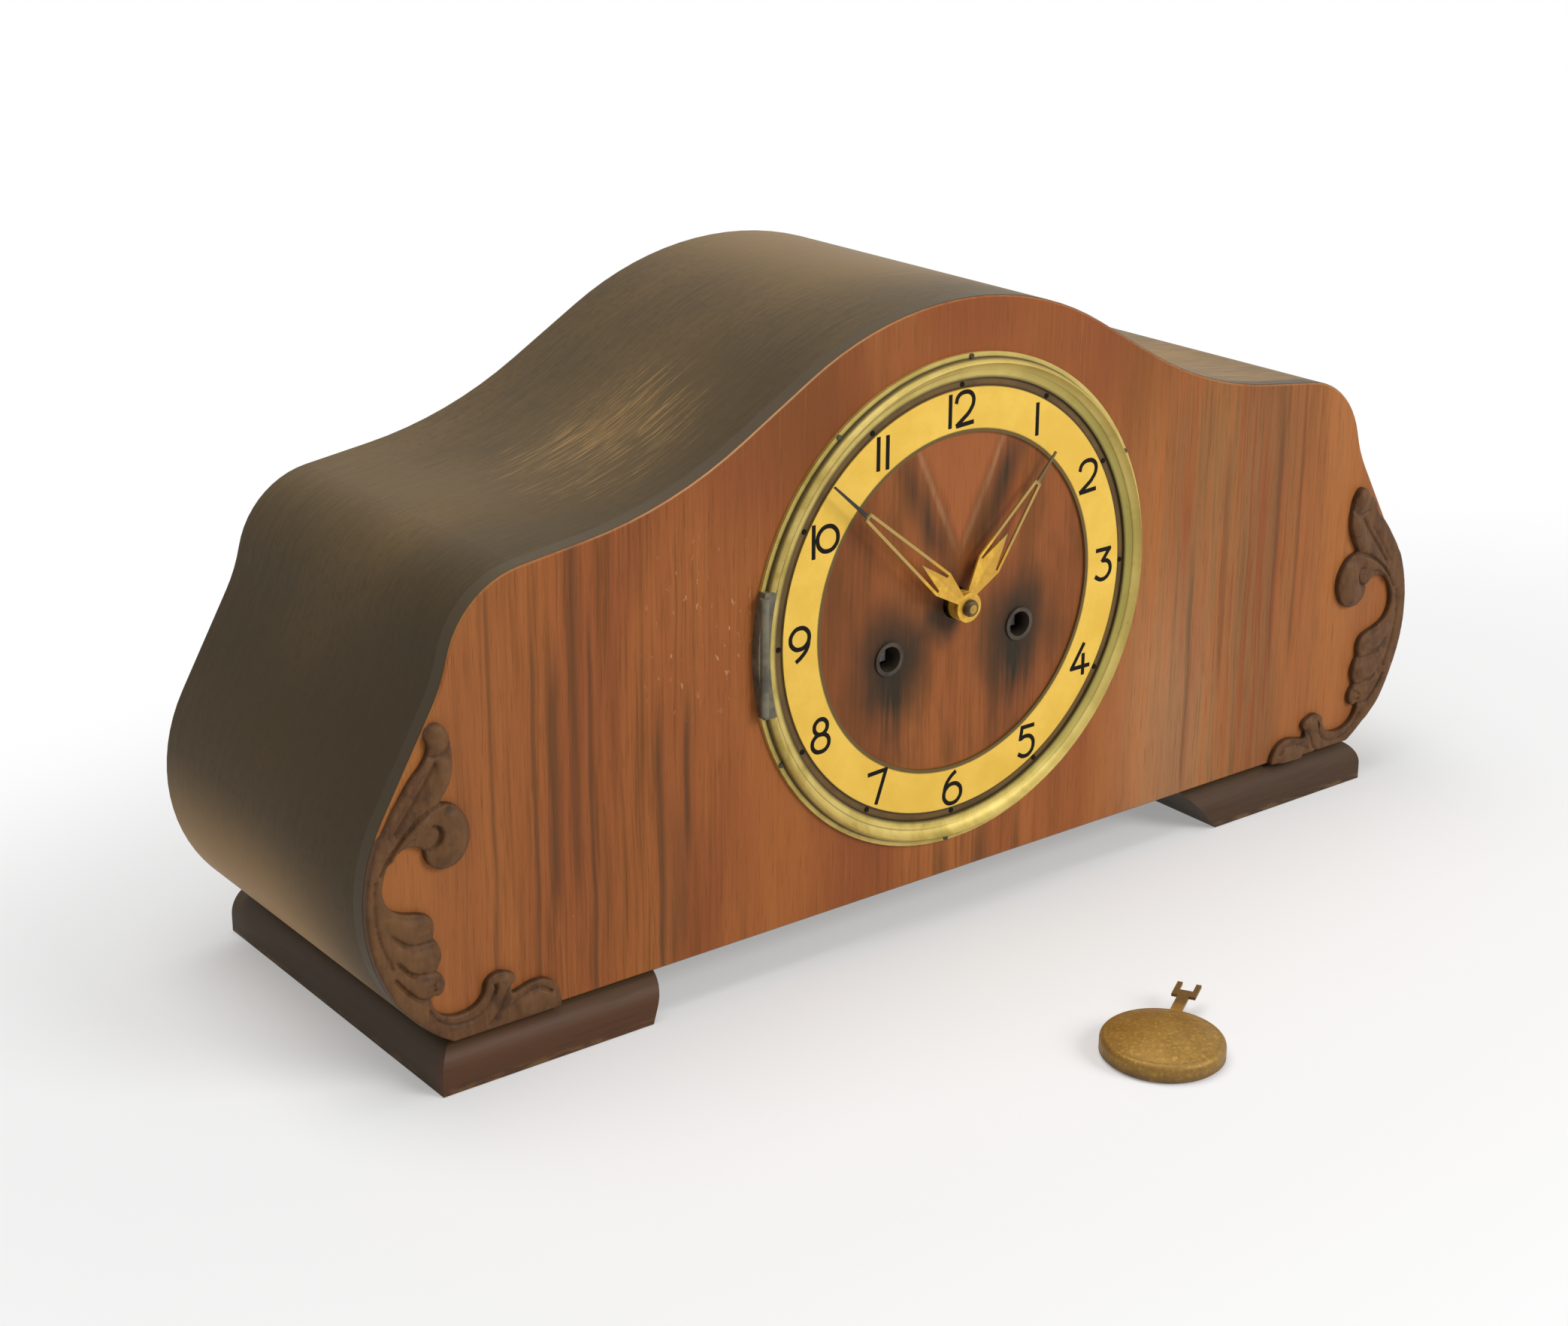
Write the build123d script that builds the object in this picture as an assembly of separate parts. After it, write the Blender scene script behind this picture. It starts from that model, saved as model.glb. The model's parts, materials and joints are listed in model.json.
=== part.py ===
from build123d import *

import os
from math import atan2, cos, hypot, pi, radians, sin, sqrt

# Hump-back mantel clock with an eight-day time and strike movement.
# Millimetres. While it is modelled the dial centre is at x = 0, z = 0 and the front face of the panel at y = 0,
# with x to the viewer's right, y into the case and z up. On export everything moves to a frame that stands on
# the shelf, in the middle of the ground that the clock and its bob take up.

# Case
CASE_DEPTH = 131.0
DIAL_RISE = 98.0
CROWN_RISE = 103.0
PANEL_T = 6.0
PANEL_ARRIS = 0.8
WRAP_T = 7.0
BASE_T = 9.0
FRAME_T = 6.0
FRAME_INSET = 4.0

# Half outline, from the crown down the right side: radius and turn of each tangent arc
CROWN_R = 122.0
CROWN_TURN = 30.5
SLOPE_RUN = 30.1
VALLEY_R = 155.0
VALLEY_TURN = 23.0
LEDGE_RUN = 23.9
SHOULDER_R = 31.0
SHOULDER_TURN = 69.0
WAIST_R = 52.0
WAIST_TURN = 16.5
FLARE_RUN = 36.0
BULGE_R = 56.5

# Feet
FOOT_H = 16.0
FOOT_END = 205.0
FOOT_LEN = 78.0
FOOT_UNDERCUT_LEFT = 4.5
FOOT_UNDERCUT_RIGHT = 14.0
FOOT_FRONT = 4.2
FOOT_BACK = 4.5
FOOT_NOSE = 10.0
FOOT_SCREW_R = 2.0
FOOT_SCREW_HEAD_R = 4.0
FOOT_SCREW_HEAD_T = 3.0
FOOT_SCREW_BITE = 6.0
FOOT_SCREW_SINK = 2.0
FOOT_SCREW_SPREAD = 38.0

# Carved scrolls on the panel's lower corners
CARVING_T = 4.6
CARVING_LOW = 3.2
CARVING_EDGE = 1.2
CARVING_STEM = 7.5
CARVING_TAPER = 0.6
CARVING_TOP = -24.0
CARVING_END = 168.0
CARVING_STEMS = (
    ((200.0, 1.0), (212.0, -20.0)),
    ((212.0, -20.0), (219.0, -34.0)),
    ((212.0, -23.0), (200.0, -28.0)),
)
CARVING_LOBES = (
    (199.5, 1.0, 5.0),
    (204.0, -9.0, 6.5),
    (210.0, -16.0, 7.0),
    (198.0, -31.5, 10.0),
    (213.0, -53.0, 7.5),
    (209.0, -62.0, 7.5),
    (207.0, -72.0, 7.5),
    (203.0, -81.0, 6.5),
    (183.0, -87.0, 5.5),
    (172.0, -92.0, 4.5),
)

# Back door
DOOR_HALF_W = 108.0
DOOR_BOTTOM = -78.0
DOOR_SHOULDER = 22.0
DOOR_CROWN = 72.0
DOOR_GAP = 0.6
DOOR_STOP_T = 4.0
DOOR_STOP_W = 10.0
DOOR_STOP_LAP = 4.0
KNOB_R = 7.0
KNOB_NECK_R = 3.5
KNOB_LEN = 15.0
KNOB_EDGE = 14.0
HINGE_PIN_R = 1.2
HINGE_BARREL_R = 2.4
HINGE_FIT = 0.06
HINGE_LEAF_W = 9.0
HINGE_LEAF_T = 1.0
HINGE_LEN = 24.0
HINGE_JOINT = 0.3
HINGE_HEIGHTS = (-58.0, 2.0)

# Dial
BEZEL_OUT_R = 84.8
BEZEL_FLANGE_W = 1.8
BEZEL_BROW_W = 1.4
BEZEL_SLOPE_W = 5.3
BEZEL_H = 4.4
BEZEL_LIP = 1.2
BEZEL_DISH = 0.7
BEZEL_PIN_R = 0.5
BEZEL_PIN_HEAD_R = 0.85
BEZEL_PIN_LEN = 5.0
BEZEL_PIN_ANGLES = (28.0, 88.0, 128.0, 208.0, 268.0, 318.0)
BEZEL_NOTCH_W = 4.5
BEZEL_NOTCH_DEPTH = 1.8
BEZEL_HINGE_HALF = 14.5
BEZEL_HINGE_WIDTH = 4.6
BEZEL_HINGE_T = 3.4
BEZEL_KNUCKLE_R = 1.5
CHAPTER_W = 15.2
CHAPTER_T = 0.9
TRACK_W = 3.0
CHAPTER_GAP = 0.1
TRACK_T = 0.45
FERRULE_R = 5.8
FERRULE_BORE_R = 4.4
FERRULE_TUBE_R = 5.2
FERRULE_FLANGE_T = 0.7
HAND_BORE_R = 5.5

# Hands as the clock stands: the hour hand between one and two, the minute hand near fifty-two
MINUTE_ANGLE = -47.8
MINUTE_OVERHANG = 4.1
MINUTE_RAILS = 59.4
MINUTE_SHOULDER = 15.6
MINUTE_WIDE = 8.9
HOUR_ANGLE = 40.5
HOUR_OVERHANG = 2.3
HOUR_RAILS = 48.6
HOUR_SHOULDER = 16.2
HOUR_WIDE = 11.4
HAND_T = 0.7
HAND_BOSS_R = 5.1
HAND_NECK = 0.8
HAND_COLLET = 2.2
HAND_NEEDLE = 1.3
HAND_SPEAR = 28.4
HAND_BAR = 3.2
HAND_RAIL = 1.0
HAND_SLOT = 0.9
HOUR_HAND_PROUD = 4.4
MINUTE_HAND_PROUD = 6.8
HAND_NUT_R = 2.9
HAND_NUT_T = 2.0

# Movement frame
POST_LEN = 12.0
POST_R = 3.5
MOUNT_SCREW_R = 1.6
MOUNT_HEAD_R = 3.0
MOUNT_HEAD_T = 1.8
MOUNT_BITE = 4.0
MOUNT_X = 38.0
MOUNT_LOW = -44.0
MOUNT_HIGH = 51.0
PLATE_T = 2.0
PLATE_GAP = 30.0
PLATE_HALF_W = 60.0
PLATE_LOW = -52.0
PLATE_HIGH = 58.0
PLATE_CORNER = 8.0
PILLAR_R = 3.0
PILLAR_END_R = 1.75
PILLAR_X = 52.0
PILLAR_LOW = -44.0
PILLAR_HIGH = 49.0
PILLAR_NUT_R = 3.6
PILLAR_NUT_T = 2.6

# Running fits
PIVOT_FIT = 0.05
END_SHAKE = 0.3

# Winding side, the same for time and strike
WIND_X = 28.6
WIND_Z = -13.6
WIND_ARBOR_R = 3.0
WIND_PIVOT_R = 2.0
WIND_SQUARE = 4.4
WIND_RECESS = 4.2
BARREL_R = 21.0
BARREL_LIP = 4.5
BARREL_CAP = 1.2
BARREL_GROOVE = 0.8
GREAT_TEETH = 48
GREAT_MODULE = 1.0
GREAT_T = 3.0
GREAT_SETBACK = 7.0
RATCHET_R = 9.0
RATCHET_DEPTH = 1.6
RATCHET_LEAN = 0.92
RATCHET_TEETH = 16
RATCHET_T = 2.0
RATCHET_LIFT = 1.0
CLICK_STUD_R = 1.5
CLICK_REACH = 14.5
CLICK_TURN = 62.0
CLICK_SWEEP = 48.0
CLICK_CLEAR = 0.25
CLICK_W = 3.0
CLICK_BOSS_R = 3.2

# Time train: teeth, modules and levels
PINION_LEAVES = 8
SECOND_TEETH = 48
SECOND_MODULE = 0.6875
SECOND_ARBOR_R = 1.8
CENTRE_TEETH = 72
CENTRE_MODULE = 0.425
CENTRE_ARBOR_R = 1.5
CENTRE_LEVEL = 1.4
THIRD_TEETH = 77
THIRD_MODULE = 0.34
THIRD_ARBOR_R = 1.0
THIRD_DIRECTION = 110.0
THIRD_LEVEL = 10.0
ESCAPE_LEAVES = 7
ESCAPE_TEETH = 56
ESCAPE_R = 11.0
ESCAPE_TOOTH = 1.5
ESCAPE_ARBOR_R = 0.72
ESCAPE_LEVEL = 16.0
WHEEL_T = 1.2
PINION_LEAD = 0.6
REAR_LEVEL = 4.8
TRAIN_PIVOT_R = 0.6
HUB_SHARE = 2.2
CROSSINGS = 4
ARM_W = 1.8
RIM_DEPTH = 1.2
RIM_W = 1.6

# Motion work
CANNON_LEAVES = 10
MINUTE_TEETH = 30
MINUTE_LEAVES = 8
HOUR_TEETH = 32
MOTION_MODULE = 0.7
MOTION_BACK = 1.2
CANNON_R = 2.3
HOUR_PIPE_R = 3.4
MOTION_STUD_R = 1.4

# Escapement and pendulum
PALLET_RISE = 15.5
PALLET_SPAN = 38.0
PALLET_CLEAR = 0.95
PALLET_ARBOR_R = 1.0
PALLET_HUB_R = 2.6
PALLET_ARM_W = 2.0
PALLET_NIB = 1.4
CRUTCH_T = 1.2
CRUTCH_W = 3.6
CRUTCH_LEN = 33.0
CRUTCH_CLEAR = 1.0
LEADER_Y = 6.0
LEADER_R = 1.2
LEADER_LEN = 92.0
LEADER_FIT = 0.3
LEADER_PIN = 7.0
CHOP_W = 5.0
CHOP_H = 7.0
SPRING_T = 0.3
SPRING_W = 5.0
SPRING_UP = 5.0
SPRING_DOWN = 8.0
COCK_W = 14.0
COCK_H = 10.0
COCK_LIFT = 1.5
COCK_SLOT = 0.5

# Pendulum bob, unhooked and lying on the shelf
BOB_R = 19.4
BOB_T = 9.4
BOB_RIM = 6.2
BOB_SHOULDER = 2.0
BOB_CHAMFER = 0.8
BOB_X = -11.0
BOB_Y = -112.3
BOB_TURN = 31.0
BOB_NECK_W = 3.6
BOB_STRIP_T = 1.0
BOB_STRIP_LEN = 17.0
BOB_FORK_W = 7.7
BOB_FORK_LEN = 9.0
BOB_SLOT_W = 4.4
BOB_SLOT_LEN = 5.2

# Strike train
PIN_TEETH = 48
PIN_MODULE = 0.64
PIN_DIRECTION = 105.0
PIN_COUNT = 8
PIN_R = 0.8
PIN_LEN = 2.0
WARNING_TEETH = 48
WARNING_MODULE = 0.5
WARNING_DIRECTION = 70.0
WARNING_LEVEL = 13.0
FLY_DIRECTION = 40.0
FLY_R = 7.5
FLY_T = 0.8
FLY_LEN = 9.0
HAMMER_X = -54.0
HAMMER_Z = -4.0
HAMMER_ARBOR_R = 1.6
HAMMER_TAIL_W = 2.4
HAMMER_TAIL_CLEAR = 0.5
HAMMER_HEAD_X = -95.0
HAMMER_HEAD_R = 4.2
HAMMER_HEAD_LEN = 13.0
HAMMER_ROD_R = 1.3
HAMMER_HUB_R = 3.6
HAMMER_HUB_T = 5.0
HAMMER_DROP = 1.4

# Rod gongs
GONG_ROD_R = 1.7
GONG_ROD_LEN = 235.0
GONG_ROD_SPACING = 12.0
GONG_BLOCK_LEN = 24.0
GONG_BLOCK_W = 34.0
GONG_BLOCK_H = 34.0
GONG_BLOCK_X = -130.0
GONG_ROD_DROP = 8.0

# Levels, worked out from the sizes above
CASE_FLOOR = -DIAL_RISE
SHELF = CASE_FLOOR - FOOT_H
FLOOR_TOP = CASE_FLOOR + BASE_T
PLATE_1 = PANEL_T + POST_LEN
GAP_FRONT = PLATE_1 + PLATE_T
GAP_BACK = GAP_FRONT + PLATE_GAP
PLATE_END = GAP_BACK + PLATE_T
GREAT_BACK = GAP_BACK - GREAT_SETBACK
GREAT_FRONT = GREAT_BACK - GREAT_T
REAR_WHEEL = GAP_BACK - REAR_LEVEL
CENTRE_WHEEL = GAP_FRONT + CENTRE_LEVEL
THIRD_WHEEL = GAP_FRONT + THIRD_LEVEL
ESCAPE_WHEEL = GAP_FRONT + ESCAPE_LEVEL
WARNING_WHEEL = GAP_FRONT + WARNING_LEVEL
MINUTE_WHEEL = PLATE_1 - MOTION_BACK - WHEEL_T
HOUR_WHEEL = MINUTE_WHEEL - 2 * WHEEL_T
LEADER_AT = PLATE_END + LEADER_Y
FRAME_BACK = CASE_DEPTH - FRAME_INSET
FRAME_FRONT = FRAME_BACK - FRAME_T
FOOT_REAR = CASE_DEPTH + FOOT_BACK
KNOB_REAR = FRAME_BACK + KNOB_LEN
FRAME_SHIFT = -(max(FOOT_REAR, KNOB_REAR) + BOB_Y - BOB_R) / 2
BEZEL_FLANGE_R = BEZEL_OUT_R - BEZEL_FLANGE_W
BEZEL_CREST_R = BEZEL_FLANGE_R - BEZEL_BROW_W
BEZEL_IN_R = BEZEL_CREST_R - BEZEL_SLOPE_W
CHAPTER_OUT_R = BEZEL_IN_R - TRACK_W
CHAPTER_IN_R = CHAPTER_OUT_R - CHAPTER_W
MINUTE_LEN = CHAPTER_OUT_R + MINUTE_OVERHANG
HOUR_LEN = CHAPTER_IN_R + HOUR_OVERHANG

# Tooth forms: radial reach in modules and share of the pitch to each side of the tooth's middle
WHEEL_FORM = ((-1.2, -0.28), (0.8, -0.09), (0.8, 0.09), (-1.2, 0.28))
PINION_FORM = ((-1.3, -0.26), (0.7, -0.09), (0.7, 0.09), (-1.3, 0.26))


def polar(at, distance, degrees):
    """Point at a distance and direction from another, in the plane of the dial."""
    return (at[0] + distance * cos(radians(degrees)), at[1] + distance * sin(radians(degrees)))


def direction(start, end):
    """Direction from one point to another, in radians."""
    return atan2(end[1] - start[1], end[0] - start[0])


def meeting_point(first, first_distance, second, second_distance):
    """Point at given distances from two others, on the upper side of the line between them."""
    span = hypot(second[0] - first[0], second[1] - first[1])
    along = (first_distance**2 - second_distance**2 + span**2) / (2 * span)
    off = sqrt(first_distance**2 - along**2)
    ux = (second[0] - first[0]) / span
    uz = (second[1] - first[1]) / span
    return (first[0] + along * ux - off * uz, first[1] + along * uz + off * ux)


def centre_distance(teeth, leaves, module):
    """Distance between the arbors of a wheel and the pinion that it drives."""
    return (teeth + leaves) * module / 2


# Arbor positions
CENTRE = (0.0, 0.0)
TIME_BARREL = (WIND_X, WIND_Z)
STRIKE_BARREL = (-WIND_X, WIND_Z)
GREAT_REACH = centre_distance(GREAT_TEETH, PINION_LEAVES, GREAT_MODULE)
SECOND_REACH = centre_distance(SECOND_TEETH, PINION_LEAVES, SECOND_MODULE)
SECOND = meeting_point(CENTRE, SECOND_REACH, TIME_BARREL, GREAT_REACH)
THIRD = polar(CENTRE, centre_distance(CENTRE_TEETH, PINION_LEAVES, CENTRE_MODULE), THIRD_DIRECTION)
ESCAPE_REACH = centre_distance(THIRD_TEETH, ESCAPE_LEAVES, THIRD_MODULE)
ESCAPE = (0.0, THIRD[1] + sqrt(ESCAPE_REACH**2 - THIRD[0] ** 2))
PALLET = (0.0, ESCAPE[1] + PALLET_RISE)
MINUTE_STUD = (0.0, -centre_distance(MINUTE_TEETH, CANNON_LEAVES, MOTION_MODULE))
PIN_ARBOR = polar(STRIKE_BARREL, GREAT_REACH, PIN_DIRECTION)
WARNING = polar(PIN_ARBOR, centre_distance(PIN_TEETH, PINION_LEAVES, PIN_MODULE), WARNING_DIRECTION)
FLY = polar(WARNING, centre_distance(WARNING_TEETH, PINION_LEAVES, WARNING_MODULE), FLY_DIRECTION)
HAMMER = (HAMMER_X, HAMMER_Z)
TIME_CLICK = polar(TIME_BARREL, CLICK_REACH, CLICK_TURN)
STRIKE_CLICK = polar(STRIKE_BARREL, CLICK_REACH, 180 - CLICK_TURN)
GONG_Z = FLOOR_TOP + GONG_BLOCK_H - GONG_ROD_DROP
GONG_MID = (PLATE_END + FRAME_FRONT) / 2
GONG_YS = [GONG_MID - GONG_ROD_SPACING / 2, GONG_MID + GONG_ROD_SPACING / 2]


def slab(sketch, front, back):
    """Sketch in the plane of the dial, as a plate from one depth to another."""
    return extrude(Plane.XZ.offset(-front) * sketch, amount=front - back)


def rod(at, radius, front, back):
    """Round bar along the depth of the case."""
    bar = Cylinder(radius, back - front, align=(Align.CENTER, Align.CENTER, Align.MIN))
    return Pos(at[0], front, at[1]) * Rot(-90, 0, 0) * bar


def tube(at, radius, bore, front, back):
    """Round bar with a bore through it."""
    return rod(at, radius, front, back) - rod(at, bore, front, back)


def block(x, y, z):
    """Box between pairs of limits on each axis."""
    size = Box(x[1] - x[0], y[1] - y[0], z[1] - z[0], align=(Align.MIN, Align.MIN, Align.MIN))
    return Pos(x[0], y[0], z[0]) * size


def turned(profile, at=CENTRE):
    """Closed profile of radius and depth, turned about the depth axis."""
    return Pos(at[0], 0, at[1]) * revolve(make_face(profile), Axis.Y)


def mirrored(shape):
    """The same shape on the other side of the clock."""
    return mirror(shape, Plane.YZ)


def bar(start, end, width):
    """Flat bar with round ends, in the plane of the dial."""
    length = hypot(end[0] - start[0], end[1] - start[1])
    middle = ((start[0] + end[0]) / 2, (start[1] + end[1]) / 2)
    turn = direction(start, end) * 180 / pi
    straight = Pos(*middle) * Rot(0, 0, turn) * Rectangle(length, width)
    return straight + Pos(*start) * Circle(width / 2) + Pos(*end) * Circle(width / 2)


# Case

def half_outline(inset):
    """Tangent chain of the right half, from the crown to the base: a list of edges and the end point."""
    steps = (
        (CROWN_R, -CROWN_TURN, SLOPE_RUN),
        (VALLEY_R, VALLEY_TURN, LEDGE_RUN),
        (SHOULDER_R, -SHOULDER_TURN, 0),
        (WAIST_R, WAIST_TURN, FLARE_RUN),
    )
    at = Vector(0, CROWN_RISE - inset)
    heading = 0.0
    edges = []
    for radius, turn, run in steps:
        side = 1 if turn > 0 else -1
        reach = radius + side * inset
        centre = at + Vector(-sin(heading), cos(heading)) * side * reach
        middle = heading + radians(turn) / 2
        heading += radians(turn)
        via = centre - Vector(-sin(middle), cos(middle)) * side * reach
        end = centre - Vector(-sin(heading), cos(heading)) * side * reach
        edges.append(ThreePointArc(at, via, end))
        at = end
        if run:
            end = at + Vector(cos(heading), sin(heading)) * run
            edges.append(Line(at, end))
            at = end
    reach = BULGE_R - inset
    centre = at + Vector(sin(heading), -cos(heading)) * reach
    drop = centre.Y - (CASE_FLOOR + inset)
    last = centre + Vector(sqrt(reach**2 - drop**2), -drop)
    start_angle = atan2(at.Y - centre.Y, at.X - centre.X)
    end_angle = atan2(last.Y - centre.Y, last.X - centre.X)
    middle = (start_angle + end_angle) / 2
    edges.append(ThreePointArc(at, centre + Vector(cos(middle), sin(middle)) * reach, last))
    return edges, last


def outline(inset=0.0):
    """Front view of the case, drawn in by an even amount all round."""
    edges, last = half_outline(inset)
    half = edges + [Line(last, (0, last.Y)), Line((0, last.Y), (0, CROWN_RISE - inset))]
    face = make_face(half)
    return face + mirror(face, Plane.YZ)


def base_half_width():
    """Half the width of the case where the wrap comes down to the base."""
    return half_outline(0.0)[1].X


def front_panel():
    panel = slab(outline(), 0, PANEL_T)
    rim = panel.faces().sort_by(Axis.Y)[0].outer_wire().edges()
    panel = chamfer(rim, PANEL_ARRIS)
    panel -= rod(CENTRE, HAND_BORE_R, 0, PANEL_T)
    for at in (TIME_BARREL, STRIKE_BARREL):
        panel -= rod(at, FERRULE_TUBE_R, 0, PANEL_T)
    for at in mount_points():
        panel -= rod(at, MOUNT_SCREW_R, PANEL_T - MOUNT_BITE, PANEL_T)
    for at in bezel_pin_points():
        panel -= rod(at, BEZEL_PIN_R, 0, BEZEL_PIN_LEN)
    return panel


def case_wrap():
    shell = slab(outline() - outline(WRAP_T), PANEL_T, CASE_DEPTH)
    half = base_half_width() - WRAP_T
    return shell - block((-half, half), (0, CASE_DEPTH), (CASE_FLOOR, FLOOR_TOP))


def base_board():
    half = base_half_width() - WRAP_T
    board = block((-half, half), (PANEL_T, CASE_DEPTH), (CASE_FLOOR, FLOOR_TOP))
    for x, y in foot_screw_points():
        board -= Pos(x, y, CASE_FLOOR) * Cylinder(FOOT_SCREW_R, 2 * FOOT_SCREW_BITE)
    return board


def door_outline(grow):
    """Arched door, or its opening when it is grown by the gap."""
    half = DOOR_HALF_W + grow
    low = DOOR_BOTTOM - grow
    sides = Polyline((-half, DOOR_SHOULDER), (-half, low), (half, low), (half, DOOR_SHOULDER))
    crown = ThreePointArc((half, DOOR_SHOULDER), (0, DOOR_CROWN + grow), (-half, DOOR_SHOULDER))
    return make_face([*sides.edges(), crown])


def back_frame():
    frame = slab(outline(WRAP_T) - door_outline(DOOR_GAP), FRAME_FRONT, FRAME_BACK)
    return frame & block((-FOOT_END * 2, FOOT_END * 2), (0, CASE_DEPTH), (FLOOR_TOP, CROWN_RISE))


def back_door():
    door = slab(door_outline(0), FRAME_FRONT, FRAME_BACK)
    return door - rod((DOOR_HALF_W - KNOB_EDGE, 0), KNOB_NECK_R, FRAME_FRONT, FRAME_BACK)


def door_stop():
    right = DOOR_HALF_W - DOOR_STOP_LAP
    depth = (FRAME_FRONT - DOOR_STOP_T, FRAME_FRONT)
    return block((right, right + DOOR_STOP_W), depth, (DOOR_BOTTOM, DOOR_SHOULDER))


def back_door_knob():
    at = (DOOR_HALF_W - KNOB_EDGE, 0)
    ball = Pos(at[0], KNOB_REAR - KNOB_R, at[1]) * Sphere(KNOB_R)
    return ball + rod(at, KNOB_NECK_R, FRAME_FRONT, KNOB_REAR - KNOB_R)


def hinge_line():
    """Depth and x of the back hinges' pins."""
    return -DOOR_HALF_W - DOOR_GAP / 2, FRAME_BACK + HINGE_BARREL_R


def upright(x, y, radius, low, high):
    """Round bar standing upright."""
    return Pos(x, y, low) * Cylinder(radius, high - low, align=(Align.CENTER, Align.CENTER, Align.MIN))


def knuckle(low, high, side):
    """Barrel of a hinge leaf with its flap on one side, lying on the wood."""
    x, y = hinge_line()
    inner = x + side * DOOR_GAP / 2
    outer = x + side * HINGE_LEAF_W
    flap = block(sorted((inner, outer)), (FRAME_BACK, FRAME_BACK + HINGE_LEAF_T), (low, high))
    barrel = upright(x, y, HINGE_BARREL_R, low, high)
    return (flap + barrel) - upright(x, y, HINGE_PIN_R + HINGE_FIT, low, high)


def hinge_frame_leaves():
    third = HINGE_LEN / 3
    return [
        knuckle(z + low, z + low + third, -1)
        for z in HINGE_HEIGHTS
        for low in (0, 2 * third)
    ]


def hinge_door_leaves():
    third = HINGE_LEN / 3
    return [knuckle(z + third + HINGE_JOINT, z + 2 * third - HINGE_JOINT, 1) for z in HINGE_HEIGHTS]


def hinge_pins():
    x, y = hinge_line()
    return [upright(x, y, HINGE_PIN_R, z, z + HINGE_LEN) for z in HINGE_HEIGHTS]


def foot_screw_points():
    middle = FOOT_END - FOOT_LEN / 2
    depths = (CASE_DEPTH / 2 - FOOT_SCREW_SPREAD, CASE_DEPTH / 2 + FOOT_SCREW_SPREAD)
    inner = middle - FOOT_LEN / 6
    return [(side * inner, y) for side in (1, -1) for y in depths]


def foot(undercut):
    """Right foot: a moulded block with a round nose along its front and outer end."""
    inner = FOOT_END - FOOT_LEN
    front = -FOOT_FRONT
    section = make_face(Polyline(
        (inner, SHELF),
        (FOOT_END, SHELF),
        (FOOT_END, CASE_FLOOR),
        (inner - undercut, CASE_FLOOR),
        close=True,
    ))
    body = slab(section, front, FOOT_REAR)
    top = body.faces().sort_by(Axis.Z)[-1]
    ends = top.edges().sort_by(Axis.X)[-1:] + top.edges().sort_by(Axis.Y)[:1]
    body = fillet(ends, FOOT_NOSE)
    for x, y in foot_screw_points()[:2]:
        body -= upright(x, y, FOOT_SCREW_R, SHELF, CASE_FLOOR)
        body -= upright(x, y, FOOT_SCREW_HEAD_R, SHELF, SHELF + FOOT_SCREW_SINK + FOOT_SCREW_HEAD_T)
    return body


def foot_screws():
    head = SHELF + FOOT_SCREW_SINK
    screws = []
    for x, y in foot_screw_points():
        shank = upright(x, y, FOOT_SCREW_R, head, CASE_FLOOR + FOOT_SCREW_BITE)
        screws.append(shank + upright(x, y, FOOT_SCREW_HEAD_R, head, head + FOOT_SCREW_HEAD_T))
    return screws


# Carved scrolls

def carving():
    """Right-hand scroll: a stem along the panel's edge with a bud, a volute and lobed leaves."""
    band = outline(CARVING_EDGE) - outline(CARVING_EDGE + CARVING_STEM)
    low_corner = Pos(CARVING_END, CARVING_TOP) * Rectangle(
        FOOT_END, DIAL_RISE, align=(Align.MIN, Align.MAX)
    )
    relief = slab(band & low_corner, -CARVING_LOW, 0)
    for start, end in CARVING_STEMS:
        relief += slab(bar(start, end, CARVING_STEM), -CARVING_LOW, 0)
    for x, z, radius in CARVING_LOBES:
        lobe = Cone(radius, radius * CARVING_TAPER, CARVING_T, align=(Align.CENTER, Align.CENTER, Align.MIN))
        relief += Pos(x, 0, z) * Rot(90, 0, 0) * lobe
    return relief


# Dial

def bezel_pin_points():
    radius = (BEZEL_FLANGE_R + BEZEL_OUT_R) / 2
    return [polar(CENTRE, radius, angle) for angle in BEZEL_PIN_ANGLES]


def hinge_sector(inner, outer, half):
    """Ring sector at nine o'clock."""
    ring = Circle(outer) - Circle(inner)
    return ring & Pos(-outer / 2, 0) * Rectangle(outer, 2 * BEZEL_OUT_R * sin(radians(half)))


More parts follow.
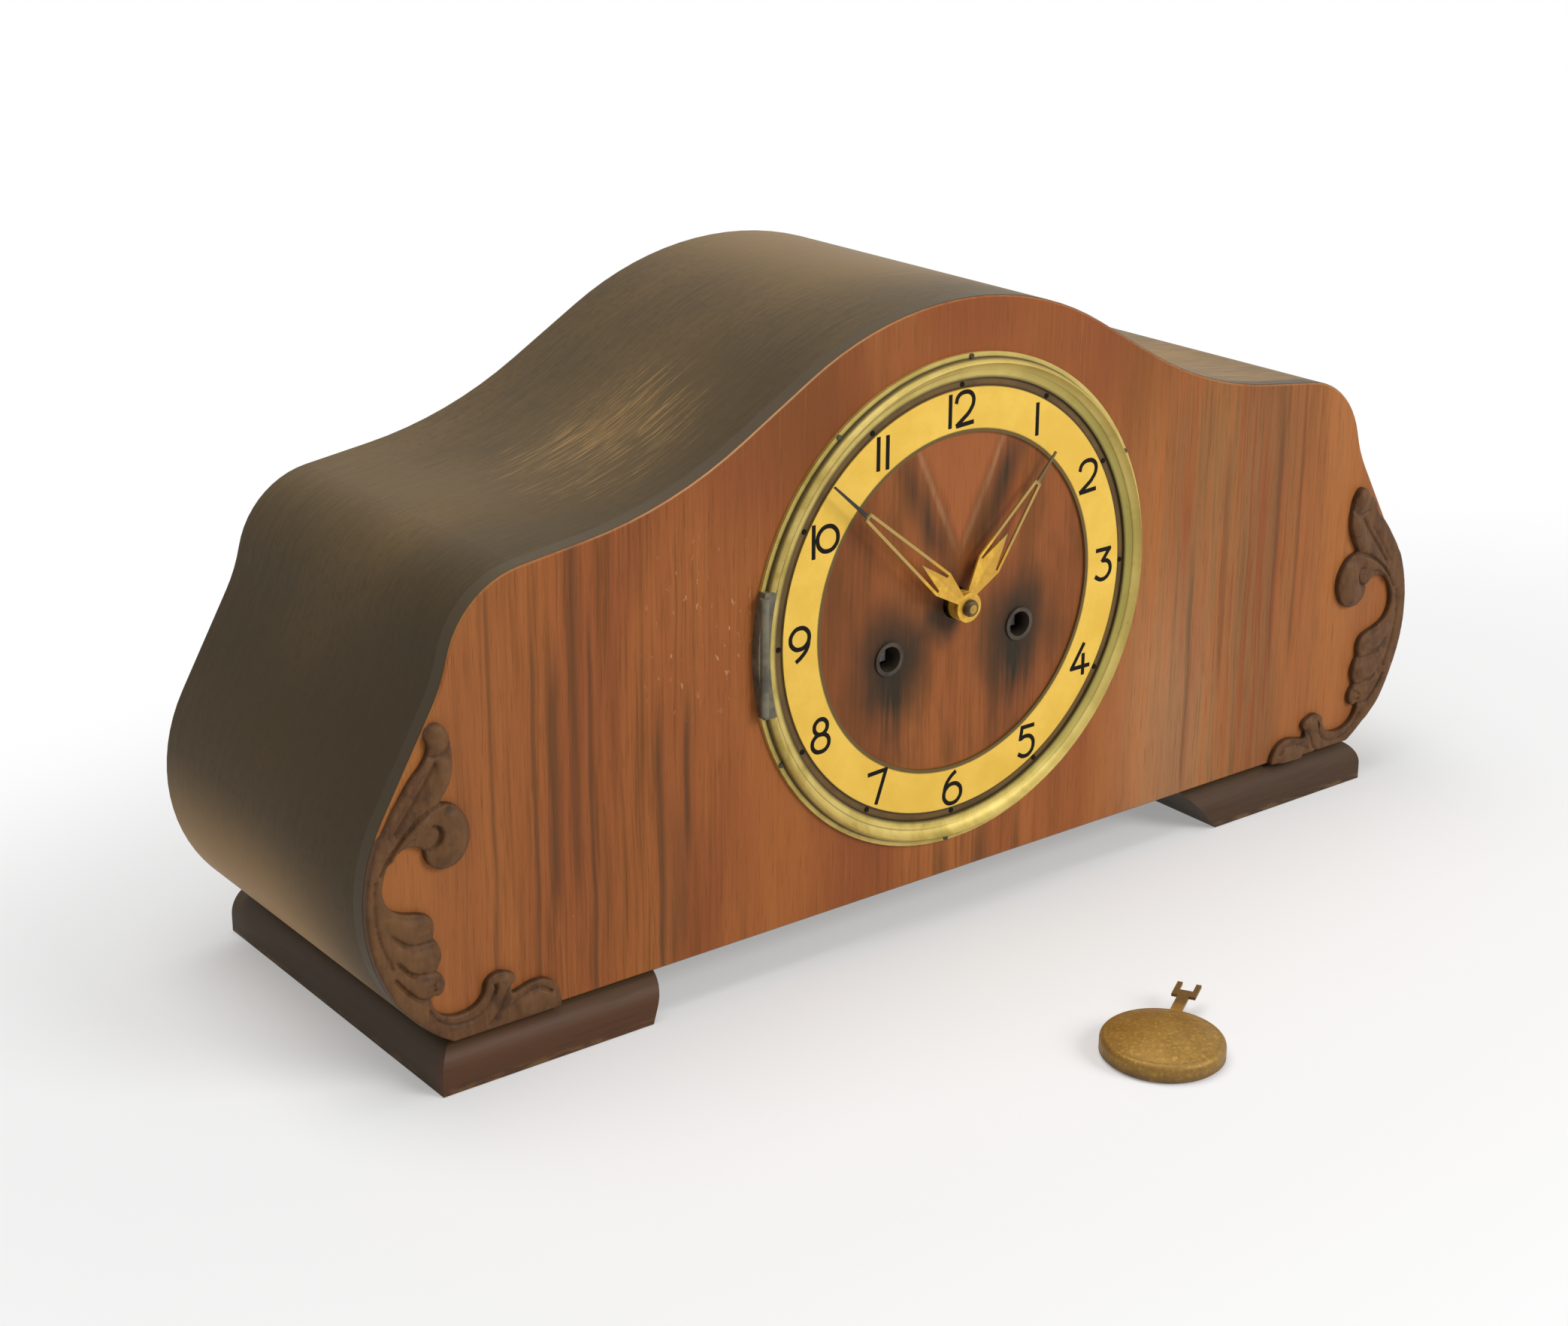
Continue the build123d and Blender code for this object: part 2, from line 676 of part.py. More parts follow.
def bezel_ring():
    slope_r = (BEZEL_IN_R + BEZEL_CREST_R) / 2 + BEZEL_DISH
    slope_y = -(BEZEL_LIP + BEZEL_H) / 2 + BEZEL_DISH
    brow_r = BEZEL_CREST_R + (BEZEL_FLANGE_R - BEZEL_CREST_R) * 2 / 3
    profile = [
        Line((BEZEL_OUT_R, 0), (BEZEL_IN_R, 0)),
        Line((BEZEL_IN_R, 0), (BEZEL_IN_R, -BEZEL_LIP)),
        ThreePointArc((BEZEL_IN_R, -BEZEL_LIP), (slope_r, slope_y), (BEZEL_CREST_R, -BEZEL_H)),
        ThreePointArc((BEZEL_CREST_R, -BEZEL_H), (brow_r, -BEZEL_H * 3 / 4), (BEZEL_FLANGE_R, -BEZEL_LIP)),
        Line((BEZEL_FLANGE_R, -BEZEL_LIP), (BEZEL_OUT_R, -BEZEL_LIP)),
        Line((BEZEL_OUT_R, -BEZEL_LIP), (BEZEL_OUT_R, 0)),
    ]
    ring = turned(profile)
    seat = hinge_sector(BEZEL_OUT_R - BEZEL_HINGE_WIDTH, BEZEL_OUT_R + BEZEL_LIP, BEZEL_HINGE_HALF)
    ring -= slab(seat, -BEZEL_H, 0)
    notch = (BEZEL_OUT_R - BEZEL_NOTCH_DEPTH, BEZEL_OUT_R)
    ring -= block(notch, (-BEZEL_H, 0), (-BEZEL_NOTCH_W / 2, BEZEL_NOTCH_W / 2))
    for at in bezel_pin_points():
        ring -= rod(at, BEZEL_PIN_R, -BEZEL_H, 0)
    return ring


def bezel_hinge_plate():
    inner = BEZEL_OUT_R - BEZEL_HINGE_WIDTH
    plate = slab(hinge_sector(inner, BEZEL_OUT_R, BEZEL_HINGE_HALF), -BEZEL_HINGE_T, 0)
    reach = BEZEL_OUT_R * sin(radians(BEZEL_HINGE_HALF)) - BEZEL_KNUCKLE_R
    middle = inner + BEZEL_HINGE_WIDTH / 2
    return plate + upright(-middle, -BEZEL_HINGE_T, BEZEL_KNUCKLE_R, -reach, reach)


def bezel_pins():
    pins = []
    for at in bezel_pin_points():
        shank = rod(at, BEZEL_PIN_R, -BEZEL_LIP, BEZEL_PIN_LEN)
        pins.append(shank + rod(at, BEZEL_PIN_HEAD_R, -BEZEL_LIP - BEZEL_PIN_R, -BEZEL_LIP))
    return pins


def chapter_ring():
    edge = BEZEL_IN_R - CHAPTER_GAP
    profile = Polyline(
        (CHAPTER_IN_R, 0), (CHAPTER_IN_R, -CHAPTER_T), (CHAPTER_OUT_R, -CHAPTER_T),
        (CHAPTER_OUT_R, -TRACK_T), (edge, -TRACK_T), (edge, 0), close=True,
    )
    return turned(profile)


def winding_ferrules():
    ferrules = []
    for at in (TIME_BARREL, STRIKE_BARREL):
        lined = rod(at, FERRULE_R, -FERRULE_FLANGE_T, 0) + rod(at, FERRULE_TUBE_R, 0, PANEL_T)
        ferrules.append(lined - rod(at, FERRULE_BORE_R, -FERRULE_FLANGE_T, PANEL_T))
    return ferrules


# Hands

def hand_sketch(length, rails, shoulder, wide, angle):
    """Pierced hand: a kite, a spear inside two rails that end in a cross bar, and a needle."""
    half = wide / 2
    root = HAND_NECK / 2
    bar_half = HAND_BAR / 2
    needle = HAND_NEEDLE / 2
    tip = HAND_NEEDLE / 4
    side = ((root, 0), (half, shoulder), (bar_half, rails), (needle, rails), (tip, length))
    shape = make_face(Polyline(*side, *[(-x, z) for x, z in reversed(side)], close=True))
    inside = half - HAND_RAIL
    spear = inside - HAND_SLOT
    end = (bar_half - HAND_RAIL, rails - HAND_RAIL)
    window = make_face(Polyline((-inside, shoulder), (-end[0], end[1]), end, (inside, shoulder), close=True))
    window -= make_face(Polyline((-spear, shoulder), (0, HAND_SPEAR), (spear, shoulder), close=True))
    return Rot(0, 0, -angle) * (shape - window)


def hour_hand():
    face = -HOUR_HAND_PROUD
    hand = slab(hand_sketch(HOUR_LEN, HOUR_RAILS, HOUR_SHOULDER, HOUR_WIDE, HOUR_ANGLE), face, face + HAND_T)
    hand += rod(CENTRE, HAND_BOSS_R, face, face + HAND_COLLET)
    return hand - rod(CENTRE, HOUR_PIPE_R, face, face + HAND_COLLET)


def minute_hand():
    face = -MINUTE_HAND_PROUD
    sketch = hand_sketch(MINUTE_LEN, MINUTE_RAILS, MINUTE_SHOULDER, MINUTE_WIDE, MINUTE_ANGLE)
    hand = slab(sketch, face, face + HAND_T) + rod(CENTRE, HAND_BOSS_R, face, face + HAND_T)
    return hand - rod(CENTRE, CANNON_R, face, face + HAND_T)


def hand_nut():
    face = -MINUTE_HAND_PROUD
    profile = [
        Line((CENTRE_ARBOR_R, face), (HAND_NUT_R, face)),
        Line((HAND_NUT_R, face), (HAND_NUT_R, face - HAND_NUT_T / 2)),
        ThreePointArc(
            (HAND_NUT_R, face - HAND_NUT_T / 2),
            (HAND_NUT_R - HAND_NUT_T / 6, face - HAND_NUT_T * 5 / 6),
            (HAND_NUT_R - HAND_NUT_T / 2, face - HAND_NUT_T),
        ),
        Line((HAND_NUT_R - HAND_NUT_T / 2, face - HAND_NUT_T), (CENTRE_ARBOR_R, face - HAND_NUT_T)),
        Line((CENTRE_ARBOR_R, face - HAND_NUT_T), (CENTRE_ARBOR_R, face)),
    ]
    return turned(profile)


# Movement frame

def mount_points():
    return [(side * MOUNT_X, z) for side in (1, -1) for z in (MOUNT_LOW, MOUNT_HIGH)]


def pillar_points():
    return [(side * PILLAR_X, z) for side in (1, -1) for z in (PILLAR_LOW, PILLAR_HIGH)]


def train_points():
    """Arbors that run on fine pivots in both plates."""
    return (SECOND, THIRD, ESCAPE, PIN_ARBOR, WARNING, FLY)


def plate(front, back, winding, centre):
    """One movement plate with its pivot holes."""
    height = PLATE_HIGH - PLATE_LOW
    sheet = Pos(0, (PLATE_HIGH + PLATE_LOW) / 2) * RectangleRounded(2 * PLATE_HALF_W, height, PLATE_CORNER)
    for at in (TIME_BARREL, STRIKE_BARREL):
        sheet -= Pos(*at) * Circle(winding + PIVOT_FIT)
    for at in train_points():
        sheet -= Pos(*at) * Circle(TRAIN_PIVOT_R + PIVOT_FIT)
    for at in pillar_points():
        sheet -= Pos(*at) * Circle(PILLAR_END_R)
    sheet -= Circle(centre + PIVOT_FIT)
    sheet -= Pos(*PALLET) * Circle(PALLET_ARBOR_R + PIVOT_FIT)
    sheet -= Pos(*HAMMER) * Circle(HAMMER_ARBOR_R + PIVOT_FIT)
    return slab(sheet, front, back)


def front_plate():
    sheet = plate(PLATE_1, GAP_FRONT, WIND_ARBOR_R, CENTRE_ARBOR_R)
    for at in mount_points():
        sheet -= rod(at, MOUNT_SCREW_R, PLATE_1, GAP_FRONT)
    sheet += rod(MINUTE_STUD, MOTION_STUD_R, HOUR_WHEEL - MOTION_BACK, GAP_FRONT)
    for at in (TIME_CLICK, STRIKE_CLICK):
        sheet += rod(at, CLICK_STUD_R, ratchet_front(), GAP_FRONT)
    return sheet


def back_plate():
    return plate(GAP_BACK, PLATE_END, WIND_PIVOT_R, TRAIN_PIVOT_R)


def pillars():
    end = PLATE_END + PILLAR_NUT_T
    return [
        rod(at, PILLAR_R, GAP_FRONT, GAP_BACK) + rod(at, PILLAR_END_R, PLATE_1, end)
        for at in pillar_points()
    ]


def pillar_nuts():
    nut = RegularPolygon(PILLAR_NUT_R, 6) - Circle(PILLAR_END_R)
    return [slab(Pos(*at) * nut, PLATE_END, PLATE_END + PILLAR_NUT_T) for at in pillar_points()]


def mounting_posts():
    return [tube(at, POST_R, MOUNT_SCREW_R, PANEL_T, PLATE_1) for at in mount_points()]


def mounting_screws():
    screws = []
    for at in mount_points():
        shank = rod(at, MOUNT_SCREW_R, PANEL_T - MOUNT_BITE, GAP_FRONT)
        screws.append(shank + rod(at, MOUNT_HEAD_R, GAP_FRONT, GAP_FRONT + MOUNT_HEAD_T))
    return screws


# Wheels and arbors

def toothed(teeth, module, form, lead):
    """Toothed disc whose first tooth points in the lead direction, in radians."""
    pitch_radius = teeth * module / 2
    step = 2 * pi / teeth
    corners = []
    for k in range(teeth):
        for reach, share in form:
            radius = pitch_radius + reach * module
            angle = lead + (k + share) * step
            corners.append((radius * cos(angle), radius * sin(angle)))
    return make_face(Polyline(*corners, close=True))


def wheel_sketch(teeth, module, at, mate):
    """Wheel with a tooth gap facing its mate."""
    return toothed(teeth, module, WHEEL_FORM, direction(at, mate) + pi / teeth)


def pinion_sketch(leaves, module, at, mate):
    """Pinion with a leaf facing its mate."""
    return toothed(leaves, module, PINION_FORM, direction(at, mate))


def rim_radius(teeth, module):
    """Inside of a crossed-out wheel's rim."""
    return teeth * module / 2 - RIM_DEPTH * module - RIM_W


def crossed(sketch, rim, hub):
    """Wheel blank with its crossings cut out."""
    windows = Circle(rim) - Circle(hub)
    for k in range(CROSSINGS):
        arm = Rectangle(rim + hub, ARM_W, align=(Align.MIN, Align.CENTER))
        windows -= Rot(0, 0, 360 / CROSSINGS * k) * arm
    return sketch - windows


def train_wheel(teeth, module, at, mate, hub, front):
    """Crossed-out wheel as it is staked to its arbor."""
    sketch = crossed(wheel_sketch(teeth, module, at, mate), rim_radius(teeth, module), HUB_SHARE * hub)
    return slab(Pos(*at) * sketch, front, front + WHEEL_T)


def arbor(at, radius):
    """Arbor between the plates, with its pivots."""
    body = rod(at, radius, GAP_FRONT + END_SHAKE, GAP_BACK - END_SHAKE)
    return body + rod(at, TRAIN_PIVOT_R, PLATE_1, PLATE_END)


def leafed(leaves, module, at, mate, front, thickness):
    """Pinion that spans the wheel that it meshes with."""
    sketch = Pos(*at) * pinion_sketch(leaves, module, at, mate)
    return slab(sketch, front - PINION_LEAD, front + thickness + PINION_LEAD)


def second_wheel():
    wheel = train_wheel(SECOND_TEETH, SECOND_MODULE, SECOND, CENTRE, SECOND_ARBOR_R, REAR_WHEEL)
    pinion = leafed(PINION_LEAVES, GREAT_MODULE, SECOND, TIME_BARREL, GREAT_FRONT, GREAT_T)
    return arbor(SECOND, SECOND_ARBOR_R) + wheel + pinion


def centre_wheel():
    wheel = train_wheel(CENTRE_TEETH, CENTRE_MODULE, CENTRE, THIRD, CENTRE_ARBOR_R, CENTRE_WHEEL)
    pinion = leafed(PINION_LEAVES, SECOND_MODULE, CENTRE, SECOND, REAR_WHEEL, WHEEL_T)
    nose = -MINUTE_HAND_PROUD - HAND_NUT_T
    stem = rod(CENTRE, CENTRE_ARBOR_R, nose, GAP_BACK - END_SHAKE)
    return arbor(CENTRE, CENTRE_ARBOR_R) + stem + wheel + pinion


def third_wheel():
    wheel = train_wheel(THIRD_TEETH, THIRD_MODULE, THIRD, ESCAPE, THIRD_ARBOR_R, THIRD_WHEEL)
    pinion = leafed(PINION_LEAVES, CENTRE_MODULE, THIRD, CENTRE, CENTRE_WHEEL, WHEEL_T)
    return arbor(THIRD, THIRD_ARBOR_R) + wheel + pinion


def escape_wheel():
    step = 2 * pi / ESCAPE_TEETH
    root = ESCAPE_R - ESCAPE_TOOTH
    corners = []
    for k in range(ESCAPE_TEETH):
        for radius, share in ((root, 0.0), (ESCAPE_R, 0.12), (ESCAPE_R, 0.26), (root, 0.55)):
            angle = (k + share) * step
            corners.append((radius * cos(angle), radius * sin(angle)))
    blank = crossed(make_face(Polyline(*corners, close=True)), root - RIM_W, HUB_SHARE * ESCAPE_ARBOR_R)
    wheel = slab(Pos(*ESCAPE) * blank, ESCAPE_WHEEL, ESCAPE_WHEEL + WHEEL_T)
    pinion = leafed(ESCAPE_LEAVES, THIRD_MODULE, ESCAPE, THIRD, THIRD_WHEEL, WHEEL_T)
    return arbor(ESCAPE, ESCAPE_ARBOR_R) + wheel + pinion


def barrel(at, mate):
    """Closed mainspring barrel with its great wheel at the back."""
    front = GAP_FRONT + BARREL_LIP
    drum = rod(at, BARREL_R, front, GREAT_FRONT)
    cap_r = BARREL_R - BARREL_CAP
    drum -= tube(at, cap_r, cap_r - BARREL_GROOVE, front, front + BARREL_GROOVE)
    drum += slab(Pos(*at) * wheel_sketch(GREAT_TEETH, GREAT_MODULE, at, mate), GREAT_FRONT, GREAT_BACK)
    return drum - rod(at, WIND_ARBOR_R + PIVOT_FIT, front, GREAT_BACK)


def ratchet_front():
    return PLATE_1 - RATCHET_LIFT - RATCHET_T


def winding_arbor(at):
    square = slab(Pos(*at) * Rectangle(WIND_SQUARE, WIND_SQUARE), WIND_RECESS, ratchet_front())
    body = rod(at, WIND_ARBOR_R, ratchet_front(), GAP_BACK - END_SHAKE)
    return square + body + rod(at, WIND_PIVOT_R, GAP_BACK - END_SHAKE, PLATE_END)


def ratchet_sketch():
    """Saw-toothed ratchet, as the time side has it."""
    step = 2 * pi / RATCHET_TEETH
    corners = []
    for k in range(RATCHET_TEETH):
        for radius, share in ((RATCHET_R - RATCHET_DEPTH, 0), (RATCHET_R, RATCHET_LEAN)):
            angle = (k + share) * step
            corners.append((radius * cos(angle), radius * sin(angle)))
    return make_face(Polyline(*corners, close=True)) - Circle(WIND_ARBOR_R)


def time_ratchet():
    return slab(Pos(*TIME_BARREL) * ratchet_sketch(), ratchet_front(), ratchet_front() + RATCHET_T)


def time_click():
    tip = polar(TIME_BARREL, RATCHET_R + CLICK_CLEAR + CLICK_W / 2, CLICK_TURN - CLICK_SWEEP)
    sketch = bar(TIME_CLICK, tip, CLICK_W) + Pos(*TIME_CLICK) * Circle(CLICK_BOSS_R)
    sketch -= Pos(*TIME_CLICK) * Circle(CLICK_STUD_R + PIVOT_FIT)
    return slab(sketch, ratchet_front(), ratchet_front() + RATCHET_T)


# Motion work

def cannon_pinion():
    sketch = pinion_sketch(CANNON_LEAVES, MOTION_MODULE, CENTRE, MINUTE_STUD)
    teeth = slab(sketch, MINUTE_WHEEL - PINION_LEAD, MINUTE_WHEEL + WHEEL_T + PINION_LEAD)
    pipe = rod(CENTRE, CANNON_R, -MINUTE_HAND_PROUD, MINUTE_WHEEL)
    bore = rod(CENTRE, CENTRE_ARBOR_R, -MINUTE_HAND_PROUD, PLATE_1)
    return teeth + pipe - bore


def minute_wheel():
    blank = Pos(*MINUTE_STUD) * wheel_sketch(MINUTE_TEETH, MOTION_MODULE, MINUTE_STUD, CENTRE)
    wheel = slab(blank, MINUTE_WHEEL, MINUTE_WHEEL + WHEEL_T)
    sketch = Pos(*MINUTE_STUD) * pinion_sketch(MINUTE_LEAVES, MOTION_MODULE, MINUTE_STUD, CENTRE)
    pinion = slab(sketch, HOUR_WHEEL - PINION_LEAD, MINUTE_WHEEL)
    return wheel + pinion - rod(MINUTE_STUD, MOTION_STUD_R + PIVOT_FIT, HOUR_WHEEL - PINION_LEAD, PLATE_1)


def hour_wheel():
    teeth = wheel_sketch(HOUR_TEETH, MOTION_MODULE, CENTRE, MINUTE_STUD)
    wheel = slab(teeth, HOUR_WHEEL, HOUR_WHEEL + WHEEL_T)
    pipe = rod(CENTRE, HOUR_PIPE_R, -HOUR_HAND_PROUD, HOUR_WHEEL)
    return wheel + pipe - rod(CENTRE, CANNON_R + PIVOT_FIT, -HOUR_HAND_PROUD, HOUR_WHEEL + WHEEL_T)


# Escapement and pendulum

def pallet_anchor():
    sketch = Pos(*PALLET) * Circle(PALLET_HUB_R)
    for side in (1, -1):
        nib = polar(ESCAPE, ESCAPE_R + PALLET_CLEAR + PALLET_NIB / 2, 90 - side * PALLET_SPAN)
        elbow = (nib[0] + side * PALLET_ARM_W, (nib[1] + PALLET[1]) / 2)
        sketch += bar(PALLET, elbow, PALLET_ARM_W) + bar(elbow, nib, PALLET_NIB)
    anchor = slab(sketch, ESCAPE_WHEEL - PINION_LEAD, ESCAPE_WHEEL + WHEEL_T + PINION_LEAD)
    return anchor + rod(PALLET, PALLET_ARBOR_R, PLATE_1, crutch_front() + CRUTCH_T)


def crutch_front():
    return PLATE_END + CRUTCH_CLEAR


def crutch():
    foot_at = (0, PALLET[1] - CRUTCH_LEN)
    front = crutch_front()
    arm = bar(PALLET, foot_at, CRUTCH_W) + Pos(*PALLET) * Circle(PALLET_HUB_R)
    piece = slab(arm - Pos(*PALLET) * Circle(PALLET_ARBOR_R), front, front + CRUTCH_T)
    loop = LEADER_R + LEADER_FIT
    half = loop + CRUTCH_T
    piece += block((-half, half), (front, LEADER_AT + half), (foot_at[1] - CRUTCH_T, foot_at[1]))
    return piece - upright(0, LEADER_AT, loop, foot_at[1] - CRUTCH_T, foot_at[1])


def spring_box(slack):
    """Space that the suspension spring takes up, with slack on its flat sides."""
    side = SPRING_T / 2 + slack
    depth = SPRING_W / 2 + slack
    low = PALLET[1] - SPRING_DOWN
    high = PALLET[1] + SPRING_UP + slack
    return block((-side, side), (LEADER_AT - depth, LEADER_AT + depth), (low, high))


def suspension_cock():
    half = COCK_W / 2
    end = LEADER_AT + SPRING_W / 2 + COCK_LIFT
    step = PALLET[1] + PALLET_HUB_R + COCK_LIFT
    upper = block((-half, half), (PLATE_END, end), (step, step + COCK_H))
    lug_front = crutch_front() + CRUTCH_T + END_SHAKE
    lug = block((-half / 2, half / 2), (lug_front, end), (PALLET[1] + COCK_LIFT, step))
    return upper + lug - spring_box(COCK_SLOT)


def suspension_spring():
    return spring_box(0)


def pendulum_leader():
    top = PALLET[1] - SPRING_DOWN + CHOP_H / 2
    half = CHOP_W / 2
    depth = SPRING_W / 2 + SPRING_T
    chop = block((-half, half), (LEADER_AT - depth, LEADER_AT + depth), (top - CHOP_H, top)) - spring_box(0)
    end = PALLET[1] - LEADER_LEN
    stem = upright(0, LEADER_AT, LEADER_R, end, top - CHOP_H)
    pin = Pos(0, LEADER_AT, end + LEADER_R) * Rot(0, 90, 0) * Cylinder(LEADER_R * 2 / 3, LEADER_PIN)
    return chop + stem + pin


def pendulum_bob():
    """Bob lying on its back, with its forked hanging strip pointing away."""
    crown = BOB_R - BOB_SHOULDER
    dome = BOB_T - BOB_RIM
    sphere = (crown**2 + dome**2) / (2 * dome)
    half_angle = atan2(crown, sphere - dome) / 2
    bend = BOB_SHOULDER * (1 - cos(radians(45)))
    profile = [
        Line((0, 0), (BOB_R - BOB_CHAMFER, 0)),
        Line((BOB_R - BOB_CHAMFER, 0), (BOB_R, BOB_CHAMFER)),
        Line((BOB_R, BOB_CHAMFER), (BOB_R, BOB_RIM - BOB_SHOULDER)),
        ThreePointArc((BOB_R, BOB_RIM - BOB_SHOULDER), (BOB_R - bend, BOB_RIM - bend), (crown, BOB_RIM)),
        ThreePointArc(
            (crown, BOB_RIM), (sphere * sin(half_angle), BOB_T - sphere * (1 - cos(half_angle))), (0, BOB_T)
        ),
        Line((0, BOB_T), (0, 0)),
    ]
    disc = revolve(Plane.XZ * make_face(profile), Axis.Z)
    end = BOB_R + BOB_STRIP_LEN
    strip = Rectangle(end, BOB_NECK_W, align=(Align.MIN, Align.CENTER))
    strip += Pos(end - BOB_FORK_LEN, 0) * Rectangle(BOB_FORK_LEN, BOB_FORK_W, align=(Align.MIN, Align.CENTER))
    strip -= Pos(end - BOB_SLOT_LEN, 0) * Rectangle(BOB_SLOT_LEN, BOB_SLOT_W, align=(Align.MIN, Align.CENTER))
    strip = Pos(0, 0, BOB_RIM - BOB_STRIP_T / 2) * extrude(strip, amount=BOB_STRIP_T)
    return Pos(BOB_X, BOB_Y, SHELF) * Rot(0, 0, BOB_TURN) * (disc + strip)


# Strike train

def pin_circle():
    """Radius on which the lifting pins stand, in the middle of the rim."""
    return rim_radius(PIN_TEETH, PIN_MODULE) + RIM_W / 2


def pin_wheel():
    wheel = train_wheel(PIN_TEETH, PIN_MODULE, PIN_ARBOR, WARNING, SECOND_ARBOR_R, REAR_WHEEL)
    pinion = leafed(PINION_LEAVES, GREAT_MODULE, PIN_ARBOR, STRIKE_BARREL, GREAT_FRONT, GREAT_T)
    piece = arbor(PIN_ARBOR, SECOND_ARBOR_R) + wheel + pinion
    for k in range(PIN_COUNT):
        at = polar(PIN_ARBOR, pin_circle(), 360 / PIN_COUNT * k)
        piece += rod(at, PIN_R, REAR_WHEEL, REAR_WHEEL + WHEEL_T + PIN_LEN)
    return piece


def warning_wheel():
    wheel = train_wheel(WARNING_TEETH, WARNING_MODULE, WARNING, FLY, THIRD_ARBOR_R, WARNING_WHEEL)
    pinion = leafed(PINION_LEAVES, PIN_MODULE, WARNING, PIN_ARBOR, REAR_WHEEL, WHEEL_T)
    return arbor(WARNING, THIRD_ARBOR_R) + wheel + pinion


def fly():
    pinion = leafed(PINION_LEAVES, WARNING_MODULE, FLY, WARNING, WARNING_WHEEL, WHEEL_T)
    front = WARNING_WHEEL + 2 * WHEEL_T
    vane = slab(Pos(*FLY) * Rectangle(2 * FLY_R, FLY_T), front, front + FLY_LEN)
    sleeve = rod(FLY, HUB_SHARE * ESCAPE_ARBOR_R, front, front + FLY_LEN)
    return arbor(FLY, THIRD_ARBOR_R) + pinion + vane + sleeve


def hammer_arbor():
    reach = hypot(PIN_ARBOR[0] - HAMMER[0], PIN_ARBOR[1] - HAMMER[1])
    length = reach - pin_circle() - PIN_R - HAMMER_TAIL_CLEAR - HAMMER_TAIL_W / 2
    tip = polar(HAMMER, length, direction(HAMMER, PIN_ARBOR) * 180 / pi)
    level = REAR_WHEEL + WHEEL_T + END_SHAKE
    tail = slab(bar(HAMMER, tip, HAMMER_TAIL_W), level, level + PIN_LEN - END_SHAKE)
    return tail + rod(HAMMER, HAMMER_ARBOR_R, PLATE_1, GONG_YS[-1] + HAMMER_HUB_T)


def hammer_heads():
    low = GONG_Z + GONG_ROD_R + HAMMER_DROP
    grip = (HAMMER_HEAD_X, low + HAMMER_HEAD_LEN * 2 / 3)
    length = hypot(grip[0] - HAMMER[0], grip[1] - HAMMER[1])
    tilt = 90 - direction(HAMMER, grip) * 180 / pi
    hammers = []
    for y in GONG_YS:
        stick = Cylinder(HAMMER_ROD_R, length, align=(Align.CENTER, Align.CENTER, Align.MIN))
        piece = Pos(HAMMER[0], y, HAMMER[1]) * Rot(0, tilt, 0) * stick
        piece += rod(HAMMER, HAMMER_HUB_R, y - HAMMER_HUB_T / 2, y + HAMMER_HUB_T / 2)
        piece += upright(HAMMER_HEAD_X, y, HAMMER_HEAD_R, low, low + HAMMER_HEAD_LEN)
        hammers.append(piece - rod(HAMMER, HAMMER_ARBOR_R, PLATE_END, CASE_DEPTH))
    return hammers


def gong_rod(y):
    bar_along = Cylinder(GONG_ROD_R, GONG_ROD_LEN, align=(Align.CENTER, Align.CENTER, Align.MIN))
    return Pos(GONG_BLOCK_X, y, GONG_Z) * Rot(0, 90, 0) * bar_along


def gong_rods():
    return [gong_rod(y) for y in GONG_YS]


def gong_block():
    half_x = GONG_BLOCK_LEN / 2
    half_y = GONG_BLOCK_W / 2
    piece = block(
        (GONG_BLOCK_X - half_x, GONG_BLOCK_X + half_x), (GONG_MID - half_y, GONG_MID + half_y),
        (FLOOR_TOP, FLOOR_TOP + GONG_BLOCK_H),
    )
    for y in GONG_YS:
        piece -= gong_rod(y)
    return piece


# Export

def place(shape):
    """Move a shape from the dial's frame to the shelf's."""
    return Pos(0, FRAME_SHIFT, -SHELF) * shape


def save(name, shape):
    solids = shape if isinstance(shape, list) else [shape]
    placed = [place(solid) for solid in solids]
    export_step(placed[0] if len(placed) == 1 else Compound(children=placed), f"parts/{name}.step")


